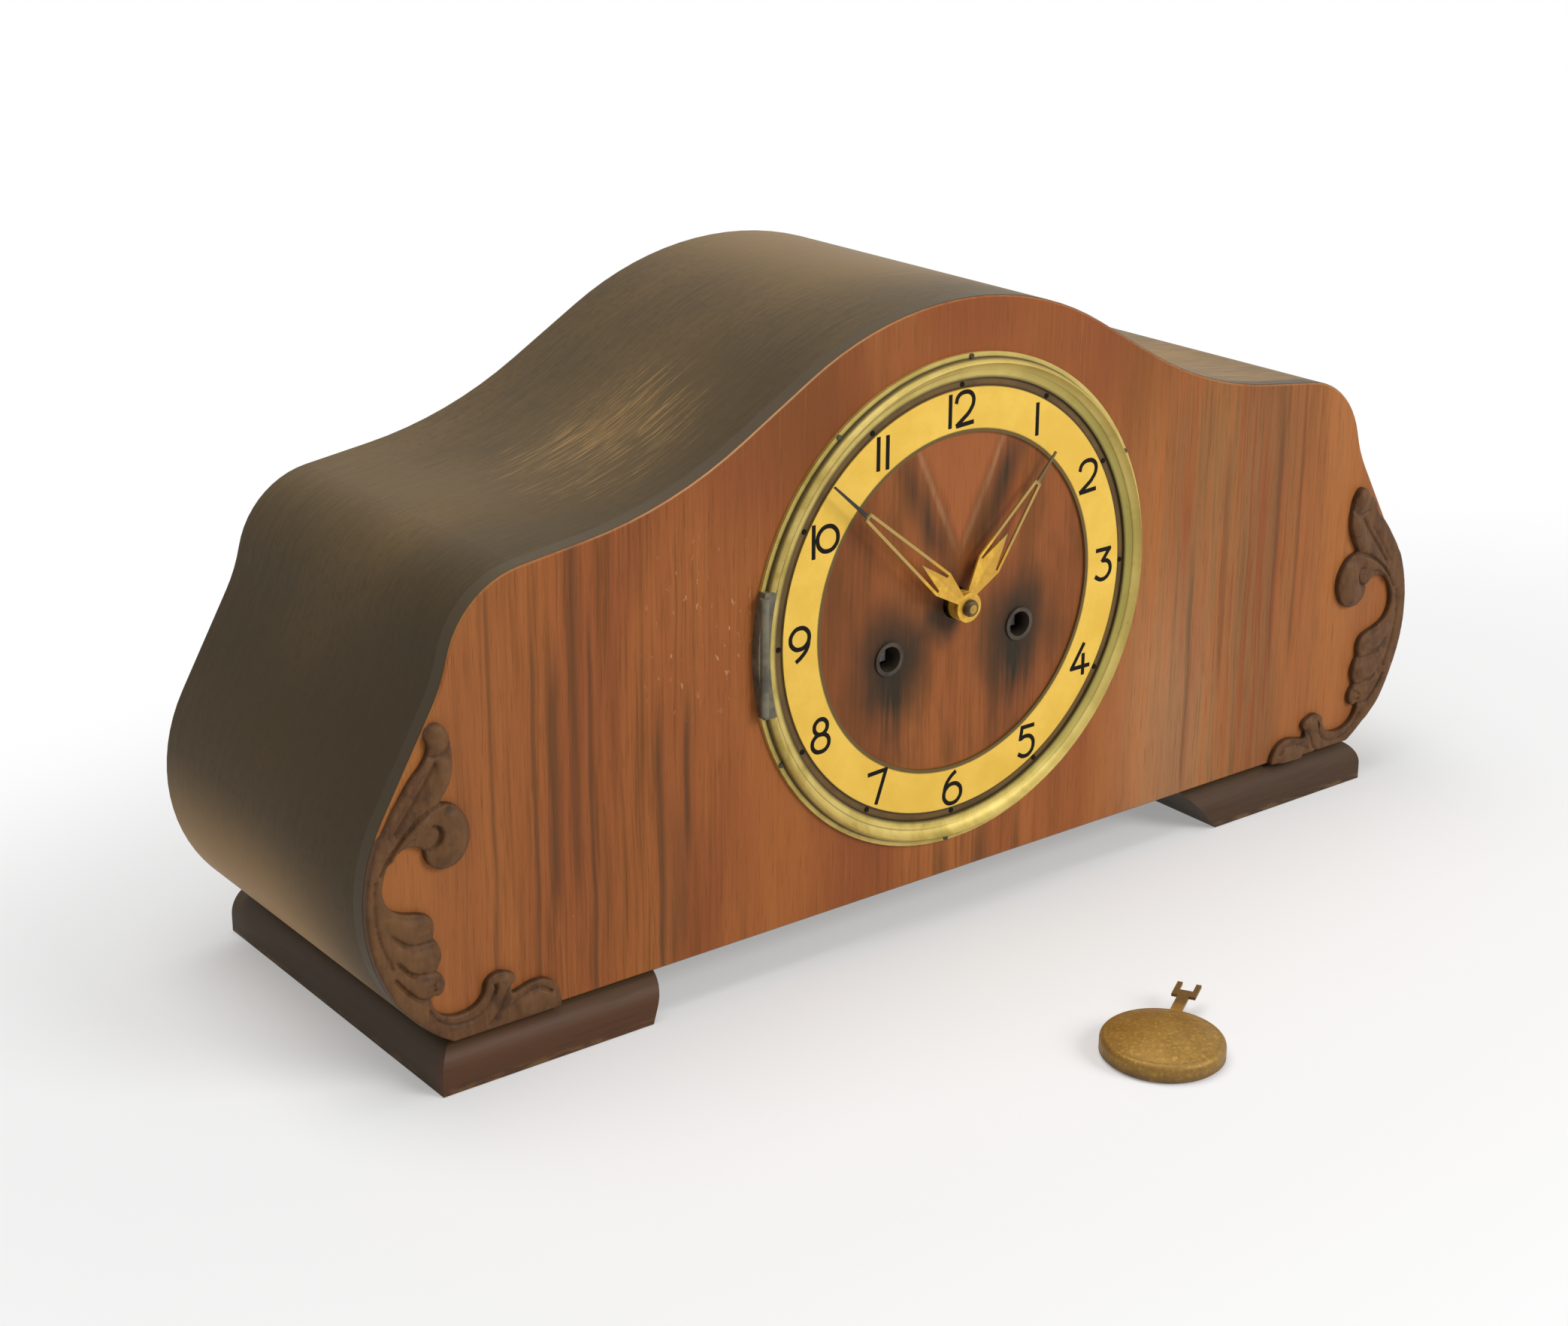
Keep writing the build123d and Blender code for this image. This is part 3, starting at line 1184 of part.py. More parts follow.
PARTS = {
    "front_panel": front_panel(),
    "case_wrap": case_wrap(),
    "base_board": base_board(),
    "back_frame": back_frame(),
    "back_door": back_door(),
    "door_stop": door_stop(),
    "back_door_knob": back_door_knob(),
    "hinge_frame_leaves": hinge_frame_leaves(),
    "hinge_door_leaves": hinge_door_leaves(),
    "hinge_pins": hinge_pins(),
    "foot_right": foot(FOOT_UNDERCUT_RIGHT),
    "foot_left": mirrored(foot(FOOT_UNDERCUT_LEFT)),
    "foot_screws": foot_screws(),
    "carving_right": carving(),
    "carving_left": mirrored(carving()),
    "bezel_ring": bezel_ring(),
    "bezel_pins": bezel_pins(),
    "bezel_hinge_plate": bezel_hinge_plate(),
    "chapter_ring": chapter_ring(),
    "winding_ferrules": winding_ferrules(),
    "hour_hand": hour_hand(),
    "minute_hand": minute_hand(),
    "hand_nut": hand_nut(),
    "front_plate": front_plate(),
    "back_plate": back_plate(),
    "pillars": pillars(),
    "pillar_nuts": pillar_nuts(),
    "mounting_posts": mounting_posts(),
    "mounting_screws": mounting_screws(),
    "time_barrel": barrel(TIME_BARREL, SECOND),
    "time_winding_arbor": winding_arbor(TIME_BARREL),
    "time_ratchet": time_ratchet(),
    "time_click": time_click(),
    "second_wheel": second_wheel(),
    "centre_wheel": centre_wheel(),
    "cannon_pinion": cannon_pinion(),
    "minute_wheel": minute_wheel(),
    "hour_wheel": hour_wheel(),
    "third_wheel": third_wheel(),
    "escape_wheel": escape_wheel(),
    "pallet_anchor": pallet_anchor(),
    "crutch": crutch(),
    "suspension_cock": suspension_cock(),
    "suspension_spring": suspension_spring(),
    "pendulum_leader": pendulum_leader(),
    "pendulum_bob": pendulum_bob(),
    "strike_barrel": barrel(STRIKE_BARREL, PIN_ARBOR),
    "strike_winding_arbor": winding_arbor(STRIKE_BARREL),
    "strike_ratchet": mirrored(time_ratchet()),
    "strike_click": mirrored(time_click()),
    "pin_wheel": pin_wheel(),
    "warning_wheel": warning_wheel(),
    "fly": fly(),
    "hammer_arbor": hammer_arbor(),
    "hammer_heads": hammer_heads(),
    "gong_block": gong_block(),
    "gong_rods": gong_rods(),
}

os.makedirs("parts", exist_ok=True)
for name, shape in PARTS.items():
    save(name, shape)
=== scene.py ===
"""Looks of a hump-back mantel clock: veneered case, carved scrolls, gilt dial, movement and loose bob."""

import json
import math
from collections import namedtuple

import bpy
from bpy.props import FloatProperty, FloatVectorProperty, PointerProperty
from mathutils import Matrix, Vector


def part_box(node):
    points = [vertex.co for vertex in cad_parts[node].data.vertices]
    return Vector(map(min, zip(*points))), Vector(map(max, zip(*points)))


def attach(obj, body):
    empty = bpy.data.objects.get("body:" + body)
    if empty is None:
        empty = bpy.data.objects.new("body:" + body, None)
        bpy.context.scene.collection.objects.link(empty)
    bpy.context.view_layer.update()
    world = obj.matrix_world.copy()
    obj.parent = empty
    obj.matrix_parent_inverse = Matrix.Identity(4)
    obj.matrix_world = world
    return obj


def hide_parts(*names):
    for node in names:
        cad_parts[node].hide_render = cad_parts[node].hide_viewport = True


bl_info = {
    "name": "Hump-back mantel clock",
    "version": (1, 0, 0),
    "blender": (4, 5, 0),
    "location": "View3D > Sidebar > Clock",
    "description": "Dresses the clock's solids in wood, brass and paint",
    "category": "Object",
}

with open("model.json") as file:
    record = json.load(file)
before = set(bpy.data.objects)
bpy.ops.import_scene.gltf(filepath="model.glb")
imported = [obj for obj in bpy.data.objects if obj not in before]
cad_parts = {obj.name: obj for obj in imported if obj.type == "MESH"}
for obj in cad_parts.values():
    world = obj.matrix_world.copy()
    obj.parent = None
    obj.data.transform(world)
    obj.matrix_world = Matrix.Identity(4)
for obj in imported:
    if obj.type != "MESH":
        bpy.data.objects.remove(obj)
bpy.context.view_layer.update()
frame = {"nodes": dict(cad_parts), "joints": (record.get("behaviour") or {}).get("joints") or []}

MM = 0.001
JOINTS = {joint["name"]: joint for joint in frame["joints"]}
DIAL_X, _, DIAL_Z = JOINTS["minute_turn"]["pos_m"]
FACE_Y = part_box("front_panel")[0].y
RING_FACE_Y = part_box("chapter_ring")[0].y
FOOT_TOP_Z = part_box("foot_left")[1].z
WIND_X = abs(JOINTS["time_winding"]["pos_m"][0] - DIAL_X)
WIND_DROP = JOINTS["time_winding"]["pos_m"][2] - DIAL_Z

# Radii on the dial, in millimetres
CHAPTER_IN = 58.1
NUMERAL_R = 66.4
CHAPTER_OUT = 73.3
DOT_R = 74.7
TRACK_OUT = 76.3
BEZEL_TURN = 79.4
BEZEL_CREST = 81.6
BEZEL_FLANGE = 83.0
# Hour dots, in millimetres: half width, thickness, eased edge, and depth of their middle behind the ring
DOT_HALF = 0.9
DOT_THICK = 0.5
DOT_EASE = 0.12
DOT_SINK = 0.4
DOT_SIDES = 24
# Hands: angle from twelve o'clock, then how far the kite and the rails reach, in millimetres
HOUR_ANGLE = math.radians(40.5)
HOUR_KITE = 25.0
HOUR_RAILS = 48.6
MINUTE_ANGLE = math.radians(-47.8)
MINUTE_KITE = 25.0
MINUTE_RAILS = 59.4
# Loose bob's radius, in millimetres
BOB_R = 19.4

# Place on the panel and the veneer's noise there
Grain = namedtuple("Grain", "across up lane broad streak line pore cloud inside")
# Figure in the veneer, in millimetres on the dial: middle and half width
LEFT_FIGURE = (-143.0, 82.0)
RIGHT_FIGURE = (142.0, 78.0)
LOWER_FIGURE = (8.0, 62.0)
DULL_BAND = (128.0, 70.0)
FADED_BAND = (102.0, 42.0)
SCUFFS_ACROSS = (-104.0, 30.0)
SCUFFS_UP = (14.0, 40.0)
# Pale V over the hands: where its point stands, and its half width for each millimetre of height
VEE_X = 1.0
VEE_FOOT = 15.5
VEE_SPREAD = 0.47
# Smoky patches round the winding holes: half width, half height, and their shift inwards and down
SMOKE_HALF = 15.5
SMOKE_TALL = 21.0
SMOKE_SHIFT = 1.5
# Rubbed front edge of the panel, in millimetres: its middle behind the face, and its half width
ARRIS = 0.35

# Dark streaks in the veneer: middle, half width, share, lowest and highest point, in millimetres on the dial
STREAKS = [
    (-182.0, 0.9, 0.45, -80.0, 45.0),
    (-167.0, 1.0, 0.55, -100.0, 25.0),
    (-160.0, 2.2, 0.62, -66.0, 10.0),
    (-152.0, 2.2, 0.45, -60.0, 62.0),
    (-146.0, 0.9, 0.60, -100.0, 20.0),
    (-121.0, 1.6, 0.65, -100.0, -14.0),
    (-115.0, 4.6, 0.35, -100.0, -46.0),
    (-110.5, 1.5, 0.70, -62.0, -12.0),
    (112.0, 1.1, 0.45, -100.0, -10.0),
    (128.0, 2.2, 0.40, -62.0, 26.0),
    (155.0, 1.1, 0.45, -60.0, 40.0),
    (166.0, 1.0, 0.45, -60.0, 52.0),
    (-4.0, 2.6, 0.60, -110.0, -86.0),
    (14.0, 3.0, 0.65, -110.0, -86.0),
    (31.0, 1.8, 0.50, -110.0, -88.0),
]


def straight(*points):
    """Open straight pen stroke: not closed, not curved."""
    return False, False, points


def bow(*points):
    """Open curved pen stroke."""
    return False, True, points


def ring(*right):
    """Closed curved pen stroke, from the points of its right half."""
    left = [(-x, z) for x, z in right[-2:0:-1]]
    return True, True, [*right, *left]


# Hour numerals as pen strokes, in millimetres about each numeral's middle
NUMERALS = {
    1: [straight((0, 6.6), (0, -6.6))],
    2: [
        bow(
            (-4.4, 2.6), (-3.4, 5.3), (0, 6.6), (3.3, 5.4), (4.3, 2.6),
            (2.6, -1.0), (-1.2, -4.1), (-4.2, -6.2),
        ),
        straight((-4.2, -6.2), (4.6, -5.6)),
    ],
    3: [
        straight((-3.4, 6.2), (3.4, 6.2), (-0.2, 1.6)),
        bow((-0.2, 1.6), (2.8, 0.8), (4.2, -2.2), (2.6, -5.4), (-0.6, -6.3), (-4.0, -4.6)),
    ],
    4: [straight((1.6, 6.4), (-4.6, -3.0), (4.6, -3.0)), straight((1.6, 2.6), (1.6, -6.6))],
    5: [
        straight((3.6, 6.2), (-2.2, 6.2), (-3.0, 1.4)),
        bow((-3.0, 1.4), (-0.2, 2.2), (3.0, 1.0), (4.0, -2.2), (2.4, -5.4), (-0.8, -6.3), (-4.0, -4.8)),
    ],
    6: [
        ring((0, 1.8), (3.1, 0.6), (4.4, -2.3), (3.1, -5.3), (0, -6.5)),
        bow((-4.3, -1.6), (-3.4, 2.0), (-1.0, 5.0), (1.6, 6.8)),
    ],
    7: [straight((-4.2, 5.9), (4.2, 6.3), (-0.4, -6.6))],
    8: [
        ring((0, 6.5), (2.2, 5.6), (3.1, 3.5), (2.2, 1.3), (0, 0.4)),
        ring((0, 0.4), (2.9, -0.6), (4.0, -3.1), (2.9, -5.6), (0, -6.6)),
    ],
    9: [
        ring((0, 6.5), (3.1, 5.3), (4.4, 2.3), (3.1, -0.6), (0, -1.8)),
        bow((4.3, 1.6), (3.6, -1.8), (1.0, -4.8), (-1.8, -6.6)),
    ],
    0: [ring((0, 5.0), (3.4, 3.6), (4.8, 0.2), (3.4, -3.2), (0, -4.6))],
}
# Figures of each hour, with their shift to the side
HOURS = {hour: [(hour, 0)] for hour in range(1, 10)}
HOURS[10] = [(1, -4.2), (0, 2.4)]
HOURS[11] = [(1, -2.2), (1, 2.2)]
HOURS[12] = [(1, -6.0), (2, 1.2)]
# Overlap of straight strokes at a corner, in half widths, and the numerals' height against a round rod's
CORNER_LAP = 0.7
NUMERAL_RISE = 0.12

# Left-hand scroll's edge, in millimetres on the dial, with a 1 at each sharp corner; the case trims it
SCROLL_EDGE = [
    (-205.0, 3.4), (-201.4, 6.0), (-198.2, 3.6), (-196.8, -1.0), (-196.2, -5.6), (-196.8, -10.4),
    (-198.8, -15.0), (-201.6, -19.0, 1), (-196.6, -20.4), (-193.0, -24.2), (-191.2, -29.4), (-192.0, -34.8),
    (-194.8, -38.8), (-199.2, -40.4), (-203.6, -39.2), (-206.2, -36.2), (-206.8, -32.6, 1), (-211.0, -30.4),
    (-215.0, -30.8), (-218.8, -33.8), (-221.0, -38.4), (-221.4, -43.4), (-219.4, -48.0), (-214.6, -51.0),
    (-209.6, -52.4), (-206.0, -54.2), (-204.6, -57.4), (-205.2, -61.4, 1), (-203.2, -64.6), (-202.6, -68.6),
    (-204.4, -72.6, 1), (-202.0, -75.4), (-201.8, -78.8), (-204.0, -81.0), (-206.4, -79.4, 1),
    (-206.4, -82.4), (-204.6, -86.0), (-201.0, -88.6), (-195.6, -89.4), (-190.6, -88.0), (-187.8, -85.0),
    (-187.2, -82.0), (-184.2, -79.8), (-180.0, -80.2), (-176.6, -83.0), (-178.4, -85.6, 1),
    (-178.4, -88.4, 1), (-174.6, -87.4), (-170.0, -86.4), (-165.4, -87.0), (-161.8, -90.0), (-160.2, -94.6),
    (-160.4, -101.0, 1), (-201.0, -101.0, 1), (-240.0, -84.0, 1), (-240.0, -30.0, 1), (-222.6, -26.4),
    (-216.4, -18.0), (-210.6, -10.0), (-205.6, -4.6), (-204.2, -1.0),
]
# Cuts in the scroll: half width, depth below the face, then points
SCROLL_CUTS = [
    (0.8, 0.95, [(-205.0, -3.2), (-201.0, -4.2), (-196.4, -1.8)]),
    (0.8, 1.15, [(-202.4, -6.0), (-205.4, -10.6), (-210.8, -17.4), (-217.0, -25.4)]),
    (0.6, 0.95, [(-206.6, -9.0), (-212.6, -16.6), (-219.4, -26.0)]),
    (0.8, 1.15, [(-199.6, -19.2), (-205.4, -20.8), (-211.4, -24.2), (-217.6, -30.0), (-222.4, -37.0)]),
    (0.7, 1.35, [(-207.6, -33.4), (-204.0, -32.4), (-201.6, -29.8), (-201.8, -26.8), (-204.0, -25.8)]),
    (0.6, 0.85, [(-207.0, -28.0), (-212.0, -28.6), (-217.4, -32.6)]),
    (0.7, 1.05, [(-223.8, -38.0), (-224.6, -48.0), (-223.0, -58.0), (-219.0, -68.0)]),
    (0.8, 0.95, [(-203.2, -61.8), (-208.2, -62.4), (-213.6, -61.6), (-219.4, -57.0)]),
    (0.8, 0.95, [(-202.6, -72.8), (-207.6, -72.6), (-212.6, -71.4), (-217.8, -66.0)]),
    (0.7, 0.85, [(-206.6, -81.4), (-210.2, -80.4), (-214.6, -76.6), (-219.0, -71.0)]),
    (0.5, 1.05, [(-203.2, -76.4), (-204.6, -75.6), (-206.0, -77.0), (-205.2, -78.8), (-203.6, -78.4)]),
    (0.7, 1.05, [
        (-207.6, -84.6), (-203.4, -90.2), (-196.4, -92.6), (-189.6, -91.6), (-185.6, -87.6), (-184.2, -82.8),
    ]),
    (0.7, 1.05, [(-187.0, -96.4), (-182.8, -92.6), (-180.8, -88.0), (-178.4, -85.2)]),
    (0.6, 1.05, [(-180.0, -92.8), (-174.6, -90.2), (-168.6, -89.0), (-163.8, -91.6)]),
]
# Swells on the scroll: lift, then points with their half widths
SCROLL_SWELLS = [
    (1.5, [(-201.4, 2.6, 3.4), (-200.8, 0.6, 3.2)]),
    (1.0, [(-199.6, -7.6, 2.4), (-200.4, -12.0, 2.8), (-204.0, -17.0, 2.2)]),
    (1.4, [(-197.6, -26.4, 4.6), (-197.4, -31.6, 5.2), (-199.0, -34.6, 4.6)]),
    (1.0, [(-206.6, -24.0, 2.6), (-212.4, -26.4, 2.2), (-218.2, -31.6, 2.0)]),
    (1.0, [(-208.6, -57.0, 2.8), (-214.6, -56.4, 3.2), (-219.0, -53.0, 2.2)]),
    (1.3, [(-206.6, -67.4, 3.2), (-212.0, -67.6, 3.4), (-217.4, -63.0, 2.4)]),
    (1.0, [(-206.0, -77.2, 2.6), (-210.6, -77.0, 2.6), (-215.0, -72.6, 2.4)]),
    (0.8, [(-209.6, -85.4, 2.8), (-215.4, -79.6, 3.0), (-221.0, -69.0, 2.6)]),
    (1.2, [(-184.0, -84.6, 2.4), (-180.6, -83.2, 2.2)]),
    (1.0, [(-174.0, -94.4, 2.8), (-165.6, -92.6, 3.0)]),
]
# Points of the edge from this one on are the stem's outer side
STEM_FROM = 56
# Right-hand scroll: its shift from the left one's mirror image, and how much further out its stem reaches
RIGHT_SHIFT = (-2.5, -3.0)
RIGHT_REACH = 5.0
# Carving, in millimetres: grains of the melted scroll and cutter, and how far the cutter stands over the face
CARVING_VOXEL = 0.42
CUTTER_VOXEL = 0.25
CUTTER_RISE = 1.0
# Domed ends of a carving tool, in half widths: how far each point lies beyond the end, and its own half width
TOOL_DOME = ((0.62, 0.74), (0.94, 0.2))
# Stretch of the panel's copy that trims a scroll, and a scroll's gap over the foot in millimetres
PANEL_STRETCH = 6.0
FOOT_GAP = 0.05
# Easing of the carved surface, and the sharpest bend that is shaded smooth
EASE_SHARE = 0.5
EASE_ROUNDS = 8
CREASE_ANGLE = math.radians(50)
# Corners of a copied mesh closer than this, in millimetres, are one
MERGE_GAP = 0.001
# A scroll lower than this, in metres, came apart
SCROLL_LEAST = 0.08
# Far beyond the clock on every side, in metres
BEYOND = 1.0

# Stage, in metres; the camera stands as in the photograph, with its sensor in millimetres
LAMP_AIM = (0.0, 0.0, 0.1)
KEY_SPOT = (0.75, -1.55, 1.05)
KEY_SIZE = 1.1
FILL_SPOT = (-0.3, 0.2, 1.9)
FILL_SIZE = 1.6
FLOOR_SIZE = 30.0
FLOOR_DROP = 0.0002
CAMERA_SPOT = (-0.564884, FACE_Y - 0.626342, 0.411845)
CAMERA_RIGHT = (0.82280869, -0.56812944, -0.01465616)
CAMERA_UP = (0.18882328, 0.24896288, 0.94992803)
CAMERA_SHIFT = (0.10873, -0.07788)
CAMERA_NEAR = 0.01
SENSOR_WIDTH = 36.0
WHITE = (1.0, 1.0, 1.0, 1.0)
BACKGROUND_RAYS = ("Camera", "Glossy", "Transmission")


def tint(code):
    """Colour of a hex code, as the linear values that Blender mixes."""
    shares = [int(code[k : k + 2], 16) / 255 for k in (1, 3, 5)]
    return tuple(s / 12.92 if s <= 0.04045 else ((s + 0.055) / 1.055) ** 2.4 for s in shares)


def look():
    return bpy.context.scene.clock_look


def colour(name):
    """One of the clock's named colours, opaque."""
    return (*getattr(look(), name), 1.0)


class Wire:
    """A shader socket that takes part in arithmetic."""

    def __init__(self, nodes, socket):
        self.nodes = nodes
        self.socket = socket

    def maths(self, operation, *terms, **settings):
        return self.nodes.node("ShaderNodeMath", {"operation": operation, **settings}, terms)

    def __add__(self, other):
        return self.maths("ADD", self, other)

    __radd__ = __add__

    def __sub__(self, other):
        return self.maths("SUBTRACT", self, other)

    def __rsub__(self, other):
        return self.maths("SUBTRACT", other, self)

    def __mul__(self, other):
        return self.maths("MULTIPLY", self, other)

    __rmul__ = __mul__

    def __truediv__(self, other):
        return self.maths("DIVIDE", self, other)

    def __abs__(self):
        return self.maths("ABSOLUTE", self)

    def held(self):
        """Kept between 0 and 1."""
        return self.maths("ADD", self, 0.0, use_clamp=True)

    def most(self, other):
        return self.maths("MAXIMUM", self, other)

    def root(self):
        return self.maths("SQRT", self)

    def step(self, low, high):
        """0 below low, 1 above high, smooth between; low above high turns it round."""
        if low > high:
            return 1.0 - self.step(high, low)
        settings = {"interpolation_type": "SMOOTHSTEP", "clamp": True}
        return self.nodes.node("ShaderNodeMapRange", settings, [self, low, high, 0.0, 1.0])

    def hill(self, middle, half):
        """1 at the middle, falling to 0 half away from it."""
        return abs(self - middle).step(half, 0.0)


class Nodes:
    """A node tree, with one method that adds its nodes."""

    def __init__(self, tree):
        self.tree = tree

    def node(self, kind, settings, sockets, out=0):
        """Adds a node with its settings, fills its sockets with values or wires, and gives one output."""
        made = self.tree.nodes.new(kind)
        for key, value in settings.items():
            setattr(made, key, value)
        pairs = sockets.items() if isinstance(sockets, dict) else enumerate(sockets)
        for key, value in pairs:
            self.fill(made, key, value)
        return Wire(self, made.outputs[out])

    def fill(self, node, key, value):
        """Gives one of a node's sockets a value or a wire."""
        if isinstance(value, Wire):
            self.tree.links.new(value.socket, node.inputs[key])
        else:
            node.inputs[key].default_value = value


class Finish(Nodes):
    """A material, with its base colour so far and the place on the clock as wires in metres."""

    def __init__(self, name):
        self.material = bpy.data.materials.new(name)
        self.material.use_nodes = True
        super().__init__(self.material.node_tree)
        self.shader = self.tree.nodes["Principled BSDF"]
        self.base = None
        place = self.node("ShaderNodeTexCoord", {}, {}, "Object")
        self.x, self.y, self.z = (self.node("ShaderNodeSeparateXYZ", {}, [place], k) for k in range(3))

    def millimetres(self):
        return [wire * (1 / MM) for wire in (self.x, self.y, self.z)]

    def dial(self):
        """Offsets from the dial's centre and the distance to it, in millimetres."""
        across = (self.x - DIAL_X) * (1 / MM)
        up = (self.z - DIAL_Z) * (1 / MM)
        return across, up, (across * across + up * up).root()

    def noise(self, x, y, z, detail=3.0, rough=0.5):
        """Noise from 0 to 1 on coordinates that are already scaled."""
        spot = self.node("ShaderNodeCombineXYZ", {}, [x, y, z])
        sockets = {"Vector": spot, "Scale": 1.0, "Detail": detail, "Roughness": rough}
        return self.node("ShaderNodeTexNoise", {}, sockets)

    def mix(self, share, first, second):
        return self.node("ShaderNodeMix", {"data_type": "RGBA"}, {0: share, 6: first, 7: second}, 2)

    def two_tone(self, share, first, second):
        """From one named colour to another."""
        return self.mix(share, colour(first), colour(second))

    def stain(self, share, over):
        """Lays a named colour, or a wire of colours, over the base."""
        self.base = self.mix(share, self.base, over if isinstance(over, Wire) else colour(over))

    def feed(self, **sockets):
        """Fills the shader's sockets with values or wires."""
        for key, value in sockets.items():
            self.fill(self.shader, key.replace("_", " "), value)

    def done(self, **sockets):
        """Feeds the shader the base colour and its other sockets, and gives the material."""
        self.feed(Base_Color=self.base, **sockets)
        return self.material

    def bump(self, height, strength, depth):
        sockets = {"Strength": strength, "Distance": depth, "Height": height}
        self.feed(Normal=self.node("ShaderNodeBump", {}, sockets))


def veneer_grain(finish):
    """The veneer's noise, from broad figure to pores, on a lane that wanders with the grain."""
    across, up, radius = finish.dial()
    sway = finish.noise(across * 0.012, 4.0, up * 0.010, 2.0) * 5.0
    waver = finish.noise(across * 0.06, 6.0, up * 0.02, 2.0) * 1.6
    lane = across + (sway + waver) - 3.3
    return Grain(
        across=across,
        up=up,
        lane=lane,
        broad=finish.noise(lane * 0.030, 7.0, up * 0.004, 3.0, 0.55),
        streak=finish.noise(lane * 0.20, 2.0, up * 0.010, 4.0, 0.62),
        line=finish.noise(lane * 0.85, 9.0, up * 0.016, 3.0, 0.65),
        pore=finish.noise(across * 2.0, 1.0, up * 0.07, 2.0, 0.65),
        cloud=finish.noise(lane * 0.07, 3.0, up * 0.045, 2.0, 0.5),
        inside=radius.step(CHAPTER_IN + 1.0, CHAPTER_IN - 2.0),
    )


def veneer_ground(finish, grain):
    """Brown ground with its red, dull, faded, shaded and pale parts."""
    across, up, inside = grain.across, grain.up, grain.inside
    finish.base = finish.two_tone(grain.broad.step(0.36, 0.62), "veneer_red", "veneer")
    hump = (up + across.hill(-80.0, 60.0) * 30.0).step(48.0, 88.0)
    finish.stain(hump * 0.8, "veneer_red")
    finish.stain(across.hill(*LEFT_FIGURE) * 0.35, "veneer_red")
    dull = grain.lane.hill(*DULL_BAND) * up.step(82.0, 30.0)
    finish.stain(dull * grain.streak.step(0.36, 0.60) * 0.7, "veneer_dull")
    faded = across.hill(*FADED_BAND) * up.step(20.0, -60.0)
    finish.stain(faded * 0.22, "veneer_chalk_and_painted_sheen")
    shade = across.hill(-64.0, 44.0) * up.step(40.0, 72.0)
    shade = shade + across.step(-14.0, -50.0) * inside
    shade = shade + across.hill(84.0, 26.0) * up.hill(60.0, 40.0)
    finish.stain((shade * 0.4).held(), "veneer_streak")
    ends = abs(across).step(150.0, 205.0)
    pale = ends * 0.36 + grain.broad.step(0.56, 0.74) * 0.35
    finish.stain(pale.held(), "veneer_pale")
    finish.stain(inside * 0.45, "veneer_red")


def veneer_streaks(finish, grain):
    """Upright streaks and lines, thickest at both ends, under the dial and inside it."""
    across, up, lane, streak, line = grain.across, grain.up, grain.lane, grain.streak, grain.line
    left = across.hill(*LEFT_FIGURE)
    right = across.hill(*RIGHT_FIGURE) * 0.75
    under = across.hill(*LOWER_FIGURE) * up.step(-60.0, -88.0)
    figured = left.most(right).most(under).most(grain.inside * 0.7) * 0.85 + 0.15
    finish.stain(streak.step(0.46, 0.72) * figured * 0.55, "veneer_streak")
    finish.stain(line.step(0.47, 0.72) * figured * 0.62, "veneer_streak")
    finish.stain(line.step(0.46, 0.30) * 0.22, "veneer_pale")
    ragged = (line - 0.5) * 2.0 + (streak - 0.5) * 2.0
    rise = up + ragged * 12.0
    for middle, half, share, low, high in STREAKS:
        height = rise.step(low - 12.0, low + 14.0) * rise.step(high + 14.0, high - 12.0)
        body = (lane + ragged * half * 0.8).hill(middle, half * 1.6)
        finish.stain(body * height * share, "veneer_line")


def veneer_crown(finish, grain):
    """The V over the hands: a smooth fold with chalky sides, dark flanks, and haze round it."""
    across, up, streak = grain.across, grain.up, grain.streak
    vee = abs(across - VEE_X) - (up - VEE_FOOT) * VEE_SPREAD + (streak - 0.5) * 4.0
    crown = up.step(12.0, 24.0) * up.step(100.0, 62.0)
    fold = vee.step(0.5, -5.0) * crown
    chalk = vee.hill(0.0, 2.0) * crown * up.step(62.0, 50.0)
    flank = vee.hill(7.5, 9.5) * crown * up.step(66.0, 40.0)
    flank = flank * (across.step(-3.0, 3.0) * 0.3 + 0.7)
    finish.stain(fold * 0.75, "veneer_fold")
    finish.stain((flank * (streak * 2.0)).held() * 0.9, "veneer_dark")
    finish.stain(chalk * 0.24, "veneer_chalk_and_painted_sheen")
    haze = finish.noise(grain.lane * 0.07, 5.0, up * 0.022, 3.0, 0.55)
    haze = haze.step(0.42, 0.66) * grain.inside * (1.0 - fold)
    finish.stain(haze * 0.55, "veneer_streak")


def veneer_smoke(finish, grain):
    """Dark figure round the winding holes and the hands' arbor, with trails below."""
    across, up, ragged = grain.across, grain.up, grain.cloud - 0.5
    smoke = 0.0
    for side in (-1, 1):
        reach = (across - side * WIND_X / MM + side * SMOKE_SHIFT) / SMOKE_HALF
        fall = (up - WIND_DROP / MM + SMOKE_SHIFT) / SMOKE_TALL
        smoke = ((reach * reach + fall * fall).root() + ragged * 0.6).step(1.5, 0.3) + smoke
    aside, above = across + 4.0, up + 2.0
    hub = (aside * aside * 0.010 + above * above * 0.004).root() + ragged * 1.4
    smoke = smoke + hub.step(1.1, 0.2) * 0.9
    trail = abs(across).hill(26.0, 17.0) * up.hill(-36.0, 24.0)
    trail = grain.streak.step(0.46, 0.62) * trail
    finish.stain((smoke * 0.95 + trail * 0.45).held(), "veneer_dark")


